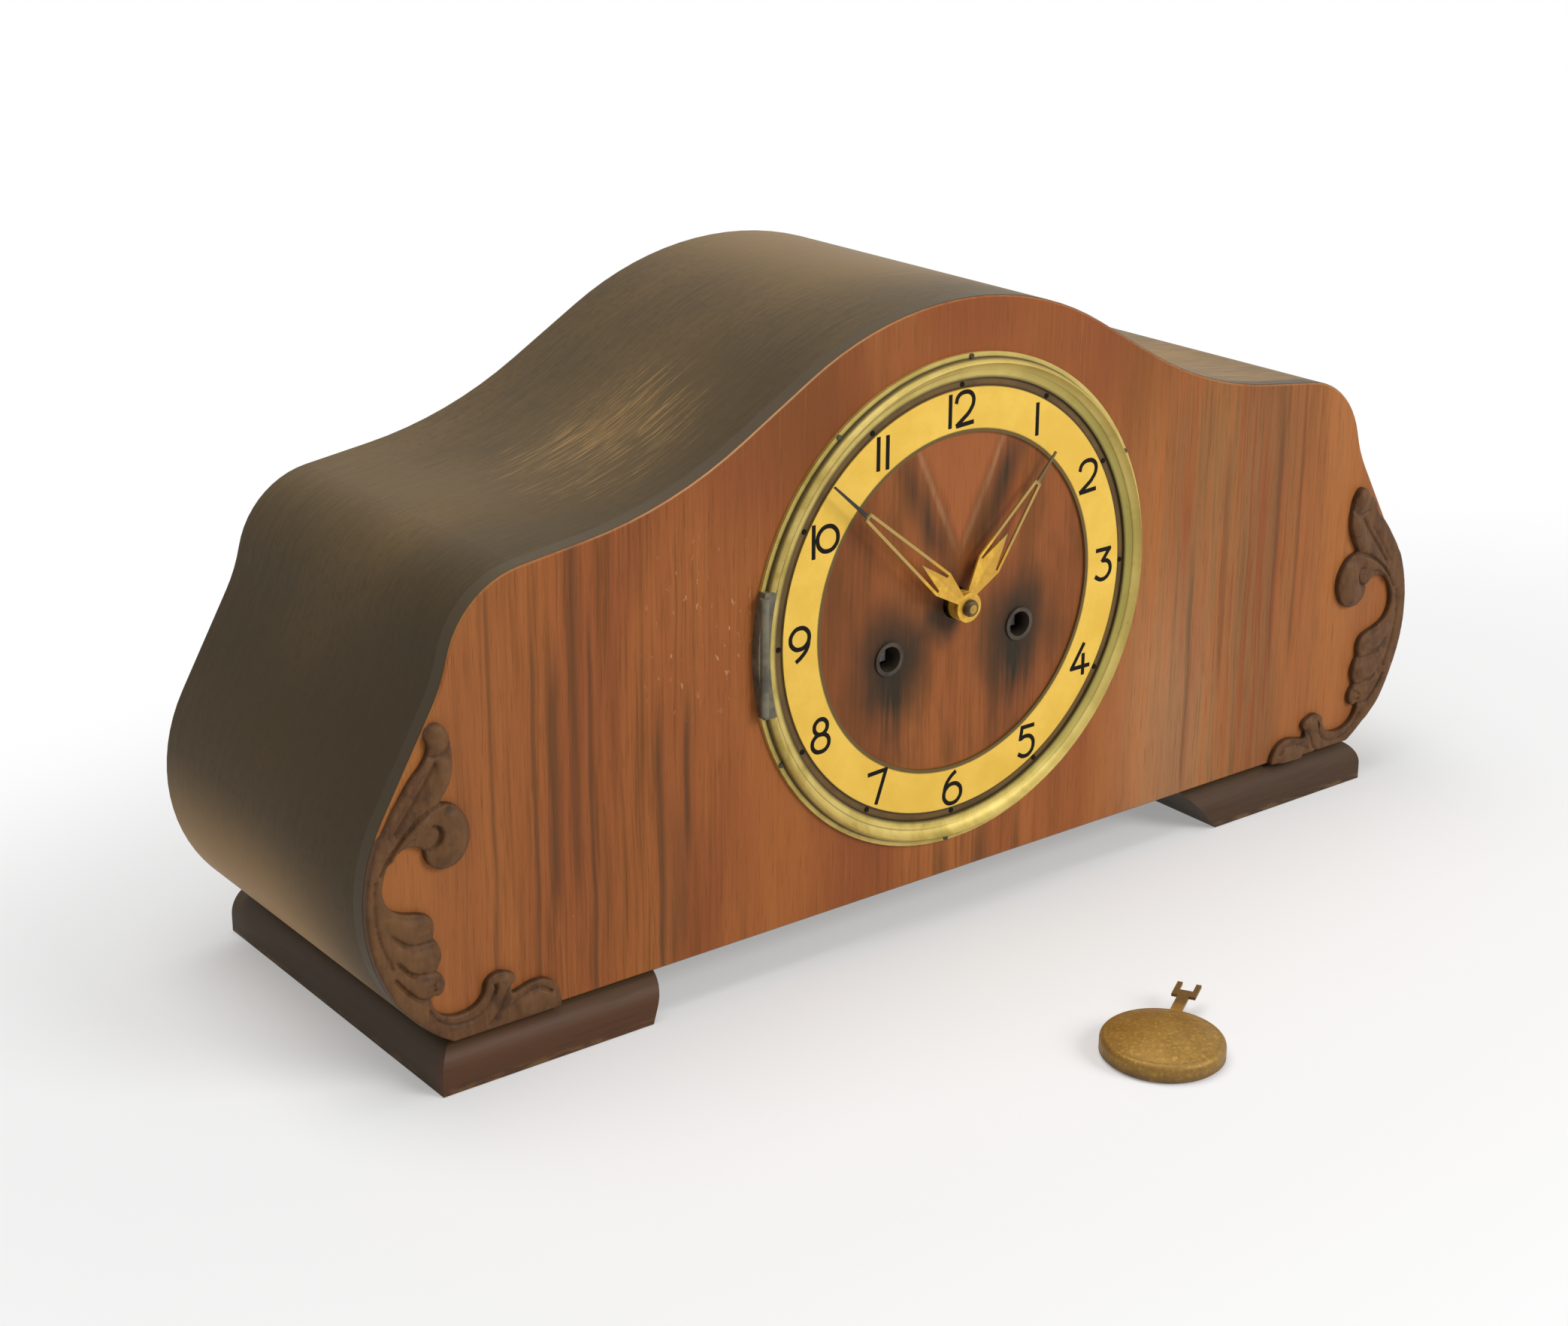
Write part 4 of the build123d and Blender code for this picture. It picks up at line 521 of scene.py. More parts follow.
def veneer_wear(finish, grain):
    """Open pores, scuffs beside the dial, and the panel's stained and rubbed edge, with painted shade on its
    upright parts.
    """
    across, up = grain.across, grain.up
    finish.stain(grain.pore.step(0.54, 0.70) * 0.42, "veneer_streak")
    nick = finish.noise(across * 0.45, 5.0, up * 0.22, 2.0)
    scuff = nick.step(0.645, 0.71) * across.hill(*SCUFFS_ACROSS) * up.hill(*SCUFFS_UP)
    finish.stain((scuff * 0.8 + nick.step(0.80, 0.84) * 0.4).held(), "veneer_chalk_and_painted_sheen")
    behind = finish.y * (1 / MM) - FACE_Y / MM
    # Painted shade on the upright parts of the panel's edge.
    upright = abs(across).step(160.0, 186.0) * up.hill(-6.0, 66.0)
    edge = finish.two_tone(upright * 0.8, "case_deep", "case_side_shade")
    finish.stain(behind.step(0.45, 2 * ARRIS), edge)
    arris = behind.hill(ARRIS, ARRIS)
    finish.stain(arris * grain.streak.step(0.38, 0.62) * 0.4, "case_worn_and_painted_sheen")
    rubbed = arris * across.hill(-85.0, 90.0) * up.step(20.0, 50.0)
    finish.stain(rubbed * 0.6, "veneer_chalk_and_painted_sheen")


def veneer_finish():
    """Crown-cut walnut: upright streaks, a pale V over the hands and dark figure round the winding holes."""
    finish = Finish("walnut_veneer")
    grain = veneer_grain(finish)
    for layer in (veneer_ground, veneer_streaks, veneer_crown, veneer_smoke, veneer_wear):
        layer(finish, grain)
    sheen = 0.40 + finish.noise(grain.across * 0.05, 8.0, grain.up * 0.05) * 0.16
    finish.bump(grain.pore * 0.5 + grain.line * 0.5, 0.12, 0.0004)
    return finish.done(
        Roughness=sheen + grain.pore.step(0.55, 0.8) * 0.1,
        Coat_Weight=0.04,
        Coat_Roughness=0.3,
        Specular_IOR_Level=0.12,
    )


def case_finish():
    """Dark stain with the grain running round the bend, painted shade on the sides, painted sheen on the
    crown, the left slope, the shoulders and low on the belly, and rubbed pale scratches on the slope, the
    shoulders and the crown.
    """
    finish = Finish("dark_stained_case")
    x, y, z = finish.millimetres()
    fibre = finish.noise(x * 0.06, y * 1.5, z * 0.06, 4.0, 0.62)
    pore = finish.noise(x * 0.25, y * 3.6, z * 0.25, 2.0, 0.6)
    cloud = finish.noise(x * 0.012, y * 0.016, z * 0.012, 3.0, 0.5)
    finish.base = finish.two_tone(fibre.step(0.34, 0.64), "case_deep", "case")
    finish.stain(cloud.step(0.42, 0.70) * 0.5, "case_warm")
    finish.stain(pore.step(0.52, 0.70) * 0.34, "case_deep")
    mottle = finish.noise(x * 0.35, y * 0.35, z * 0.35, 5.0, 0.7)
    finish.stain(mottle.step(0.46, 0.66) * 0.6, "case_deep")
    # Painted shade on the bend's sides towards the front, below the crown.
    near = y.step(74.0, 4.0) * z.step(215.0, 195.0)
    finish.stain(near * 0.5, "case_side_shade")
    # Painted sheen on the top of the crown and on the upper faces by the left valley.
    top = z.step(190.0, 214.0) * y.step(0.0, 60.0) * x.step(-50.0, 10.0)
    finish.stain(top * 0.7, "case_painted_sheen")
    valley = x.hill(-160.0, 40.0) * z.step(138.0, 156.0) * y.step(-10.0, 70.0)
    finish.stain(valley * 0.25, "case_painted_sheen")
    # Painted shade on the upright sides.
    upright = abs(x).step(160.0, 186.0) * (z + (cloud - 0.5) * 40.0).hill(108.0, 66.0)
    finish.stain(upright * 0.8, "case_side_shade")
    # Painted sheen low on the belly and its skirt, for light reflected from the floor.
    under = z.step(78.0, 38.0) * y.step(-8.0, 70.0)
    finish.stain(under * 0.9, "case_worn_and_painted_sheen")
    skirt = z.step(48.0, 22.0) * y.step(-8.0, 70.0)
    finish.stain(skirt * 0.3, "veneer_chalk_and_painted_sheen")
    slope = x.hill(-108.0, 62.0) * y.hill(46.0, 56.0)
    shoulder = x.hill(150.0, 70.0) * z.step(146.0, 158.0) * 0.9
    crown = x.hill(20.0, 90.0) * z.step(203.0, 215.0) * 0.45
    rubbed = slope.most(shoulder).most(crown)
    scratch = finish.noise(x * 0.05, y * 1.7, z * 0.05, 3.0, 0.65)
    worn = (scratch + rubbed * 0.20 + (cloud - 0.5) * 0.25).step(0.66, 0.76)
    worn = worn * rubbed.step(0.1, 0.6)
    # Painted sheen on the left slope and the shoulders.
    finish.stain((slope * 0.25 + shoulder * 0.8).held(), "case_painted_sheen")
    finish.stain((worn * 0.66).held(), "case_worn_and_painted_sheen")
    finish.bump(fibre * 0.4 + pore * 0.6, 0.10, 0.0004)
    return finish.done(
        Roughness=0.42 + cloud * 0.14 + pore.step(0.5, 0.8) * 0.08,
        Coat_Weight=0.06,
        Coat_Roughness=0.34,
        Specular_IOR_Level=0.06,
    )


def foot_finish():
    """Dark stain with lengthwise grain, redder on the front ends and rubbed on the lower arrises."""
    finish = Finish("foot_stain")
    x, y, z = finish.millimetres()
    fibre = finish.noise(x * 0.03, y * 0.05, z * 0.7, 4.0, 0.6)
    cloud = finish.noise(x * 0.03, y * 0.03, z * 0.08, 3.0)
    front_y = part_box("foot_left")[0].y / MM
    front = y.step(front_y + 9.0, front_y + 1.0)
    finish.base = finish.two_tone(fibre.step(0.34, 0.68), "foot_deep", "foot")
    red = front * (0.8 - x.step(-60.0, 60.0) * 0.55)
    finish.stain((cloud.step(0.48, 0.72) * 0.25 + red).held(), "foot_red")
    finish.stain(fibre.step(0.52, 0.70) * front * 0.5, "foot_deep")
    finish.stain((1.0 - front) * 0.6, "case_deep")
    rub = z.step(3.0, 0.4) * finish.noise(x * 0.12, y * 0.12, z * 0.5).step(0.45, 0.62)
    finish.stain(rub * 0.25, "case_worn_and_painted_sheen")
    finish.bump(fibre, 0.12, 0.0005)
    return finish.done(
        Roughness=0.42 + fibre * 0.18,
        Coat_Weight=0.04,
        Coat_Roughness=0.3,
        Specular_IOR_Level=0.14,
    )


def carving_finish():
    """Dark stain with painted shade low in the cuts, rubbed off the high ridges."""
    finish = Finish("carved_stain")
    x, y, z = finish.millimetres()
    height = (FACE_Y / MM - y) / (look().relief / MM)
    fibre = finish.noise(x * 0.55, y * 0.2, z * 0.10, 4.0, 0.65)
    cloud = finish.noise(x * 0.06, y * 0.06, z * 0.06, 3.0)
    worn = (height + (cloud - 0.5) * 0.5).step(0.85, 1.3)
    low = height.step(0.96, 0.55)
    finish.base = finish.two_tone(fibre.step(0.36, 0.64), "carving", "carving_warm")
    patch = finish.noise(x * 0.15, y * 0.15, z * 0.15, 4.0, 0.62)
    finish.stain(patch.step(0.50, 0.66) * 0.6, "carving_deep_and_shade")
    stem = abs(x).hill(221.0, 9.0) * z.hill(62.0, 34.0)
    handled = (patch.step(0.47, 0.33) * 0.45 + stem * 0.5 + worn * 0.35).held()
    handled = handled * (1.0 - x.step(-50.0, 50.0) * 0.6)
    finish.stain(handled, "carving_worn")
    # Painted shade low in the cuts.
    finish.stain(low * 0.45, "carving_deep_and_shade")
    finish.bump(fibre, 0.10, 0.0004)
    return finish.done(
        Roughness=0.46 + cloud * 0.16,
        Coat_Weight=0.03,
        Coat_Roughness=0.35,
        Specular_IOR_Level=0.14,
    )


def plain_wood_finish():
    """Thinly stained softwood of the back, with upright grain."""
    finish = Finish("thin_stained_back")
    x, y, z = finish.millimetres()
    drift = finish.noise(x * 0.02, y * 0.02, z * 0.006, 2.0) * 16.0
    growth = finish.noise((x + drift) * 0.16, y * 0.10, z * 0.004, 3.0, 0.55)
    pore = finish.noise(x * 1.6, y * 1.6, z * 0.07, 2.0)
    cloud = finish.noise(x * 0.02, y * 0.02, z * 0.02, 3.0)
    finish.base = finish.two_tone(growth.step(0.38, 0.66), "back_deep", "back")
    finish.stain(cloud.step(0.50, 0.75) * 0.4, "case_deep")
    finish.stain(pore.step(0.58, 0.74) * 0.35, "back_deep")
    finish.bump(growth * 0.4 + pore * 0.6, 0.15, 0.0005)
    return finish.done(Roughness=0.55 + growth * 0.15)


def bezel_finish():
    """Lacquered brass gone dull and greenish, with dirt flecks, painted shade on the right inner slope, at
    the flange's joint, along the bend and at the inner foot, and painted highlights on the top and the right
    outer side.
    """
    finish = Finish("aged_bezel_brass")
    across, up, radius = finish.dial()
    cloud = finish.noise(across * 0.06, 1.0, up * 0.06, 4.0, 0.6)
    fleck = finish.noise(across * 0.5, 6.0, up * 0.5, 3.0, 0.6)
    turned = finish.noise(radius * 6.0, 2.0, 0.0, 2.0)
    finish.base = finish.two_tone(cloud.step(0.40, 0.62), "bezel", "bezel_bright_and_highlight")
    finish.stain(cloud.step(0.50, 0.30) * 0.6, "bezel_green_and_shade")
    east = across.step(10.0, 62.0)
    within = radius.step(BEZEL_TURN + 0.8, BEZEL_TURN - 0.4)
    # Painted shade: the right side's inner slope darkened towards green.
    finish.stain(east * within * 0.8, "bezel_green_and_shade")
    # Painted highlights on the right side's outer part and on the top of the ring.
    finish.stain(east * radius.step(BEZEL_TURN, BEZEL_TURN + 1.0) * 0.5, "bezel_bright_and_highlight")
    finish.stain(up.step(52.0, 78.0) * 0.5, "bezel_bright_and_highlight")
    finish.stain(fleck.step(0.64, 0.74) * 0.4, "bezel_dirt_and_shade")
    wander = (cloud - 0.5) * 0.4
    # Painted shade lines: at the flange's joint (a dark joint deepened with painted shade), along the ring's
    # bend, and at its inner foot by the track.
    seam_and_shade = (radius + wander).hill(BEZEL_FLANGE + 0.05, 0.62)
    turn = (radius + wander).hill(BEZEL_CREST - 2.6, 0.4) * across.step(20.0, -30.0)
    turn = turn + (radius + wander).hill(BEZEL_TURN, 0.32) * east * 0.8
    foot = radius.step(TRACK_OUT + 1.2, TRACK_OUT)
    finish.stain((seam_and_shade * 0.98 + foot * 0.8 + turn * 0.6).held(), "bezel_dirt_and_shade")
    finish.bump(turned * 0.5 + fleck * 0.5, 0.10, 0.0003)
    return finish.done(
        Roughness=0.36 + cloud * 0.18 + turned * 0.06,
        Metallic=0.45 - (seam_and_shade * 0.4 + fleck.step(0.64, 0.74) * 0.05),
    )


def chapter_finish():
    """Satin gilt ring with a dark inner border, part printed line and part painted shade, and a brown track
    outside it.
    """
    finish = Finish("gilt_chapter_ring")
    across, up, radius = finish.dial()
    cloud = finish.noise(across * 0.05, 3.0, up * 0.05, 4.0, 0.6)
    dust = finish.noise(across * 1.3, 1.0, up * 1.3, 3.0, 0.6)
    finish.base = finish.two_tone(cloud.step(0.36, 0.68), "gilt_deep", "gilt")
    finish.stain(dust.step(0.56, 0.74) * 0.3, "gilt_smudge")
    track = radius.step(CHAPTER_OUT - 0.05, CHAPTER_OUT + 0.1)
    border = (radius + (dust - 0.5) * 0.3).step(CHAPTER_IN + 1.6, CHAPTER_IN + 1.0)
    shade = finish.two_tone(cloud.step(0.4, 0.65), "track", "track_deep_and_shade")
    finish.stain(track, shade)
    rim = radius.hill(CHAPTER_OUT + 0.35, 0.75).most(radius.hill(TRACK_OUT - 0.2, 0.8))
    finish.stain(rim * 0.9, "border")
    # The inner border, part printed line and part painted shade along the ring's inner edge.
    finish.stain(border * 0.95, "track_deep_and_shade")
    finish.bump(dust, 0.05, 0.0002)
    return finish.done(
        Metallic=(1.0 - track.most(border)) * 0.2 + track * 0.2,
        Roughness=0.44 + dust * 0.16,
        Specular_IOR_Level=0.3,
    )


def polished_finish(name, bright, deep, rough, metal=0.9):
    """Turned or rolled metal with soft tarnish."""
    finish = Finish(name)
    x, y, z = finish.millimetres()
    cloud = finish.noise(x * 0.10, y * 0.10, z * 0.10, 4.0, 0.6)
    fleck = finish.noise(x * 0.9, y * 0.9, z * 0.9, 3.0, 0.6)
    finish.base = finish.two_tone(cloud.step(0.34, 0.66), deep, bright)
    finish.stain(fleck.step(0.60, 0.74) * 0.4, deep)
    finish.bump(fleck, 0.06, 0.0002)
    return finish.done(
        Roughness=rough + cloud * 0.14 + fleck.step(0.55, 0.75) * 0.08,
        Metallic=metal - fleck.step(0.60, 0.74) * 0.25,
    )


def brushed_finish(name, bright, deep):
    """Plate stock brushed along its height."""
    finish = Finish(name)
    x, y, z = finish.millimetres()
    brush = finish.noise(x * 2.2, y * 2.2, z * 0.05, 3.0, 0.6)
    cloud = finish.noise(x * 0.05, y * 0.05, z * 0.05, 3.0)
    finish.base = finish.two_tone(cloud.step(0.35, 0.70), deep, bright)
    finish.stain(brush.step(0.45, 0.75) * 0.3, deep)
    finish.bump(brush, 0.08, 0.0002)
    return finish.done(Roughness=0.26 + brush * 0.2, Metallic=0.95)


def bob_finish():
    """Pressed brass, stippled and blotched, brown towards the rim and along the strip."""
    finish = Finish("dull_bob_brass")
    low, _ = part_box("pendulum_bob")
    x, y, z = finish.millimetres()
    cloud = finish.noise(x * 0.16, y * 0.16, z * 0.16, 4.0, 0.62)
    stipple = finish.noise(x * 0.8, y * 0.8, z * 0.8, 3.0, 0.6)
    middle = low / MM + Vector((BOB_R, BOB_R, 0.0))
    out = ((x - middle.x) * (x - middle.x) + (y - middle.y) * (y - middle.y)).root()
    finish.base = finish.two_tone(cloud.step(0.36, 0.64), "bob_deep", "bob")
    finish.stain(stipple.step(0.50, 0.70) * 0.5, "bob_bright")
    finish.stain(stipple.step(0.42, 0.30) * 0.35, "bob_dark")
    rim = z.step(low.z / MM + 3.4, low.z / MM + 1.0)
    strip = out.step(BOB_R + 0.5, BOB_R + 4.0)
    edge = out.hill(BOB_R, 4.0) * cloud.step(0.40, 0.60)
    finish.stain((rim * 0.6 + edge * 0.35 + strip * 0.75).held(), "bob_dark")
    finish.bump(stipple, 0.22, 0.0006)
    return finish.done(Roughness=0.42 + cloud * 0.2, Metallic=0.5 - rim * 0.2)


def hand_finish(name, angle, kite_r, rails_r, black):
    """Gilt boss and kite with painted shade on one facet, paler rails and a blackened needle."""
    finish = Finish(name)
    across, up, radius = finish.dial()
    lateral = across * math.cos(angle) - up * math.sin(angle)
    cloud = finish.noise(across * 0.25, 1.0, up * 0.25, 3.0, 0.6)
    fleck = finish.noise(across * 1.2, 4.0, up * 1.2, 2.0)
    finish.base = finish.two_tone(cloud.step(0.36, 0.62) * 0.6, "hand_gilt", "hand_deep_and_shade")
    # Painted shade on one facet of the kite.
    fold = lateral.step(-0.25, 0.25) * radius.step(5.0, 6.5)
    finish.stain(fold * 0.55, "hand_deep_and_shade")
    rails = radius.step(kite_r - 3.0, kite_r + 3.0)
    finish.stain(rails * 0.9, "hand_straw")
    finish.stain(fleck.step(0.60, 0.72) * 0.4, "hand_deep_and_shade")
    needle = radius.step(rails_r - 1.5, rails_r + 1.0)
    finish.stain(needle * black, "paint")
    finish.bump(fleck, 0.05, 0.0002)
    return finish.done(Metallic=(1.0 - needle) * 0.5, Roughness=0.30 + cloud * 0.16)


def painted_finish():
    """Black enamel, slightly worn."""
    finish = Finish("black_dial_paint")
    x, y, z = finish.millimetres()
    wear = finish.noise(x * 0.8, y, z * 0.8, 3.0, 0.6)
    finish.base = finish.two_tone(wear.step(0.62, 0.82) * 0.3, "paint", "border")
    return finish.done(Roughness=0.5 + wear * 0.2, Specular_IOR_Level=0.1)


def dress(material, *nodes):
    """Puts a material on CAD nodes that keep their own shape."""
    for name in nodes:
        mesh = frame["nodes"][name].data
        if mesh.materials:
            mesh.materials[0] = material
        else:
            mesh.materials.append(material)


def coat(piece, material):
    """Gives a new piece its one material."""
    piece.data.materials.clear()
    piece.data.materials.append(material)


def deselect():
    if bpy.context.object and bpy.context.object.mode != "OBJECT":
        bpy.ops.object.mode_set(mode="OBJECT")
    bpy.ops.object.select_all(action="DESELECT")


def activate(piece):
    deselect()
    piece.select_set(True)
    bpy.context.view_layer.objects.active = piece


def settle(piece):
    """Leaves a piece's place in its mesh and its object at the origin."""
    activate(piece)
    bpy.ops.object.transform_apply(location=True, rotation=True, scale=True)


def finish_with(piece, kind, **settings):
    """Adds a modifier and applies it."""
    activate(piece)
    modifier = piece.modifiers.new(kind.title(), kind)
    for key, value in settings.items():
        setattr(modifier, key, value)
    bpy.ops.object.modifier_apply(modifier=modifier.name)


def join(pieces, name):
    deselect()
    for piece in pieces:
        piece.select_set(True)
    bpy.context.view_layer.objects.active = pieces[0]
    bpy.ops.object.join()
    made = bpy.context.object
    made.name = name
    made.data.name = name
    return made


def duplicate(piece):
    """A copy with its own mesh."""
    activate(piece)
    bpy.ops.object.duplicate(linked=False)
    return bpy.context.object


def merged(piece):
    """A copied CAD mesh with its loose triangles joined."""
    activate(piece)
    bpy.ops.object.mode_set(mode="EDIT")
    bpy.ops.mesh.select_all(action="SELECT")
    bpy.ops.mesh.remove_doubles(threshold=MERGE_GAP * MM)
    bpy.ops.object.mode_set(mode="OBJECT")
    return piece


def pen_stroke(points, closed, curved, half_width):
    """Round rod along a line drawn in the plane of the dial; a point may carry its own half width."""
    curve = bpy.data.curves.new("stroke", "CURVE")
    curve.dimensions = "3D"
    curve.bevel_depth = half_width
    curve.bevel_resolution = 3
    curve.use_fill_caps = True
    curve.resolution_u = 8
    spline = curve.splines.new("BEZIER")
    spline.bezier_points.add(len(points) - 1)
    spline.use_cyclic_u = closed
    for bezier, point in zip(spline.bezier_points, points):
        bezier.co = (point[0] * MM, 0.0, point[1] * MM)
        bezier.radius = point[2] * MM / half_width if len(point) > 2 else 1.0
        bezier.handle_left_type = bezier.handle_right_type = "AUTO" if curved else "VECTOR"
    stroke = bpy.data.objects.new("stroke", curve)
    bpy.context.scene.collection.objects.link(stroke)
    activate(stroke)
    bpy.ops.object.convert(target="MESH")
    return bpy.context.object


def cut_away(piece, low, high):
    """Takes a box off a piece."""
    deselect()
    bpy.ops.mesh.primitive_cube_add(size=1.0, location=(Vector(low) + Vector(high)) / 2)
    box = bpy.context.object
    box.scale = Vector(high) - Vector(low)
    settle(box)
    finish_with(piece, "BOOLEAN", operation="DIFFERENCE", solver="EXACT", object=box)
    bpy.data.objects.remove(box)


def flat_piece(edge, thick):
    """Plate of the drawn edge, standing in the plane of the dial."""
    curve = bpy.data.curves.new("plate", "CURVE")
    curve.dimensions = "2D"
    curve.fill_mode = "BOTH"
    curve.extrude = thick / 2
    curve.resolution_u = 6
    spline = curve.splines.new("BEZIER")
    spline.bezier_points.add(len(edge) - 1)
    spline.use_cyclic_u = True
    for bezier, point in zip(spline.bezier_points, edge):
        bezier.co = (point[0] * MM, point[1] * MM, 0.0)
        bezier.handle_left_type = bezier.handle_right_type = "VECTOR" if len(point) > 2 else "AUTO"
    plate = bpy.data.objects.new("plate", curve)
    bpy.context.scene.collection.objects.link(plate)
    activate(plate)
    bpy.ops.object.convert(target="MESH")
    plate = bpy.context.object
    plate.rotation_euler = (math.pi / 2, 0.0, 0.0)
    settle(plate)
    return plate


def tapered(points, half):
    """A line's points with their half widths, and a domed point beyond each end."""
    line = [(p[0], p[1], p[2] if len(p) > 2 else half) for p in points]
    ends = []
    for tip, inner in ((line[0], line[1]), (line[-1], line[-2])):
        x, z, wide = tip
        run = Vector((x - inner[0], z - inner[1])).normalized() * wide
        ends.append([(x + run.x * far, z + run.y * far, wide * share) for far, share in TOOL_DOME])
    return [*reversed(ends[0]), *line, *ends[1]]


def tool(points, side, tall, place, face):
    """Rounded rod lying in a scroll's face, to swell it or to cut it."""
    rod = pen_stroke([(side * -x, z, half) for x, z, half in points], False, True, MM)
    rod.scale = (1.0, tall, 1.0)
    rod.location = (place[0], FACE_Y - face, place[2])
    settle(rod)
    return rod


def trimmed_plate(name, side, place, face, reach):
    """A scroll's plate, trimmed to the case's own outline."""
    edge = []
    for k, (x, z, *sharp) in enumerate(SCROLL_EDGE):
        out = reach if k >= STEM_FROM else 0.0
        edge.append((side * -(x - out), z, *sharp))
    plate = flat_piece(edge, 2 * face)
    plate.location = place
    settle(plate)
    plate.name = plate.data.name = name
    case = merged(duplicate(frame["nodes"]["front_panel"]))
    low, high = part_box("front_panel")
    middle = Matrix.Translation((0.0, (low.y + high.y) / 2, 0.0))
    case.matrix_world = middle @ Matrix.Scale(PANEL_STRETCH, 4, (0.0, 1.0, 0.0)) @ middle.inverted()
    settle(case)
    finish_with(plate, "BOOLEAN", operation="INTERSECT", solver="EXACT", object=case)
    bpy.data.objects.remove(case)
    return plate


def carve(name, side, node, shift, reach, stain):
    """One scroll: a plate trimmed to the case and the foot, swelled and cut, then eased all over."""
    face = look().relief
    place = (DIAL_X + shift[0] * MM, FACE_Y, DIAL_Z + shift[1] * MM)
    pieces = [trimmed_plate(name, side, place, face, reach)]
    for lift, points in SCROLL_SWELLS:
        pieces.append(tool(tapered(points, 1.0), side, lift / points[0][2], place, face))
    scroll = join(pieces, name)
    melt = {"mode": "VOXEL", "voxel_size": CARVING_VOXEL * MM, "use_smooth_shade": True}
    finish_with(scroll, "REMESH", **melt)
    rods = []
    for half, depth, points in SCROLL_CUTS:
        tall = (depth + CUTTER_RISE) / half
        rods.append(tool(tapered(points, half), side, tall, place, face + CUTTER_RISE * MM))
    cutter = join(rods, "cutter")
    finish_with(cutter, "REMESH", mode="VOXEL", voxel_size=CUTTER_VOXEL * MM)
    finish_with(scroll, "BOOLEAN", operation="DIFFERENCE", solver="EXACT", object=cutter)
    bpy.data.objects.remove(cutter)
    finish_with(scroll, "REMESH", **melt)
    finish_with(scroll, "SMOOTH", factor=EASE_SHARE, iterations=EASE_ROUNDS)
    cut_away(scroll, (-BEYOND, FACE_Y, -BEYOND), (BEYOND, FACE_Y + BEYOND / 10, BEYOND))
    cut_away(scroll, (-BEYOND, -BEYOND, -BEYOND), (BEYOND, BEYOND, FOOT_TOP_Z + FOOT_GAP * MM))
    activate(scroll)
    bpy.ops.object.shade_smooth_by_angle(angle=CREASE_ANGLE)
    if scroll.dimensions.z < SCROLL_LEAST:
        raise RuntimeError(f"{name} came apart while it was cut")
    coat(scroll, stain)
    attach(scroll, "case")
    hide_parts(node)


def drawn_figure(figure, size, pen):
    """One figure of the numerals, drawn with the pen about its own middle."""
    drawn = []
    for closed, curved, points in NUMERALS[figure]:
        sized = [Vector((x, z)) * size for x, z in points]
        if curved:
            drawn.append(pen_stroke(sized, closed, curved, pen))
            continue
        lap = pen / MM * CORNER_LAP if len(sized) > 2 else 0.0
        for start, stop in zip(sized, sized[1:]):
            over = (stop - start).normalized() * lap
            drawn.append(pen_stroke([start - over, stop + over], closed, curved, pen))
    return join(drawn, f"figure_{figure}")


def colour_property(label, words, default):
    return FloatVectorProperty(
        name=label, description=words, subtype="COLOR", size=3, min=0.0, max=1.0, default=default
    )


class ClockLook(bpy.types.PropertyGroup):
    """Colours and sizes of the clock's own finishes."""

    numeral_pen: FloatProperty(
        name="Numeral pen",
        description="Width of a stroke",
        default=1.6 * MM,
        min=0.3 * MM,
        max=4.0 * MM,
        precision=4,
        unit="LENGTH",
    )
    numeral_size: FloatProperty(
        name="Numeral size",
        description="Share of their drawn height",
        default=0.865,
        min=0.3,
        max=1.2,
        subtype="FACTOR",
    )
    relief: FloatProperty(
        name="Relief",
        description="Height of the scrolls",
        default=2.4 * MM,
        min=1.0 * MM,
        max=5.0 * MM,
        precision=4,
        unit="LENGTH",
    )


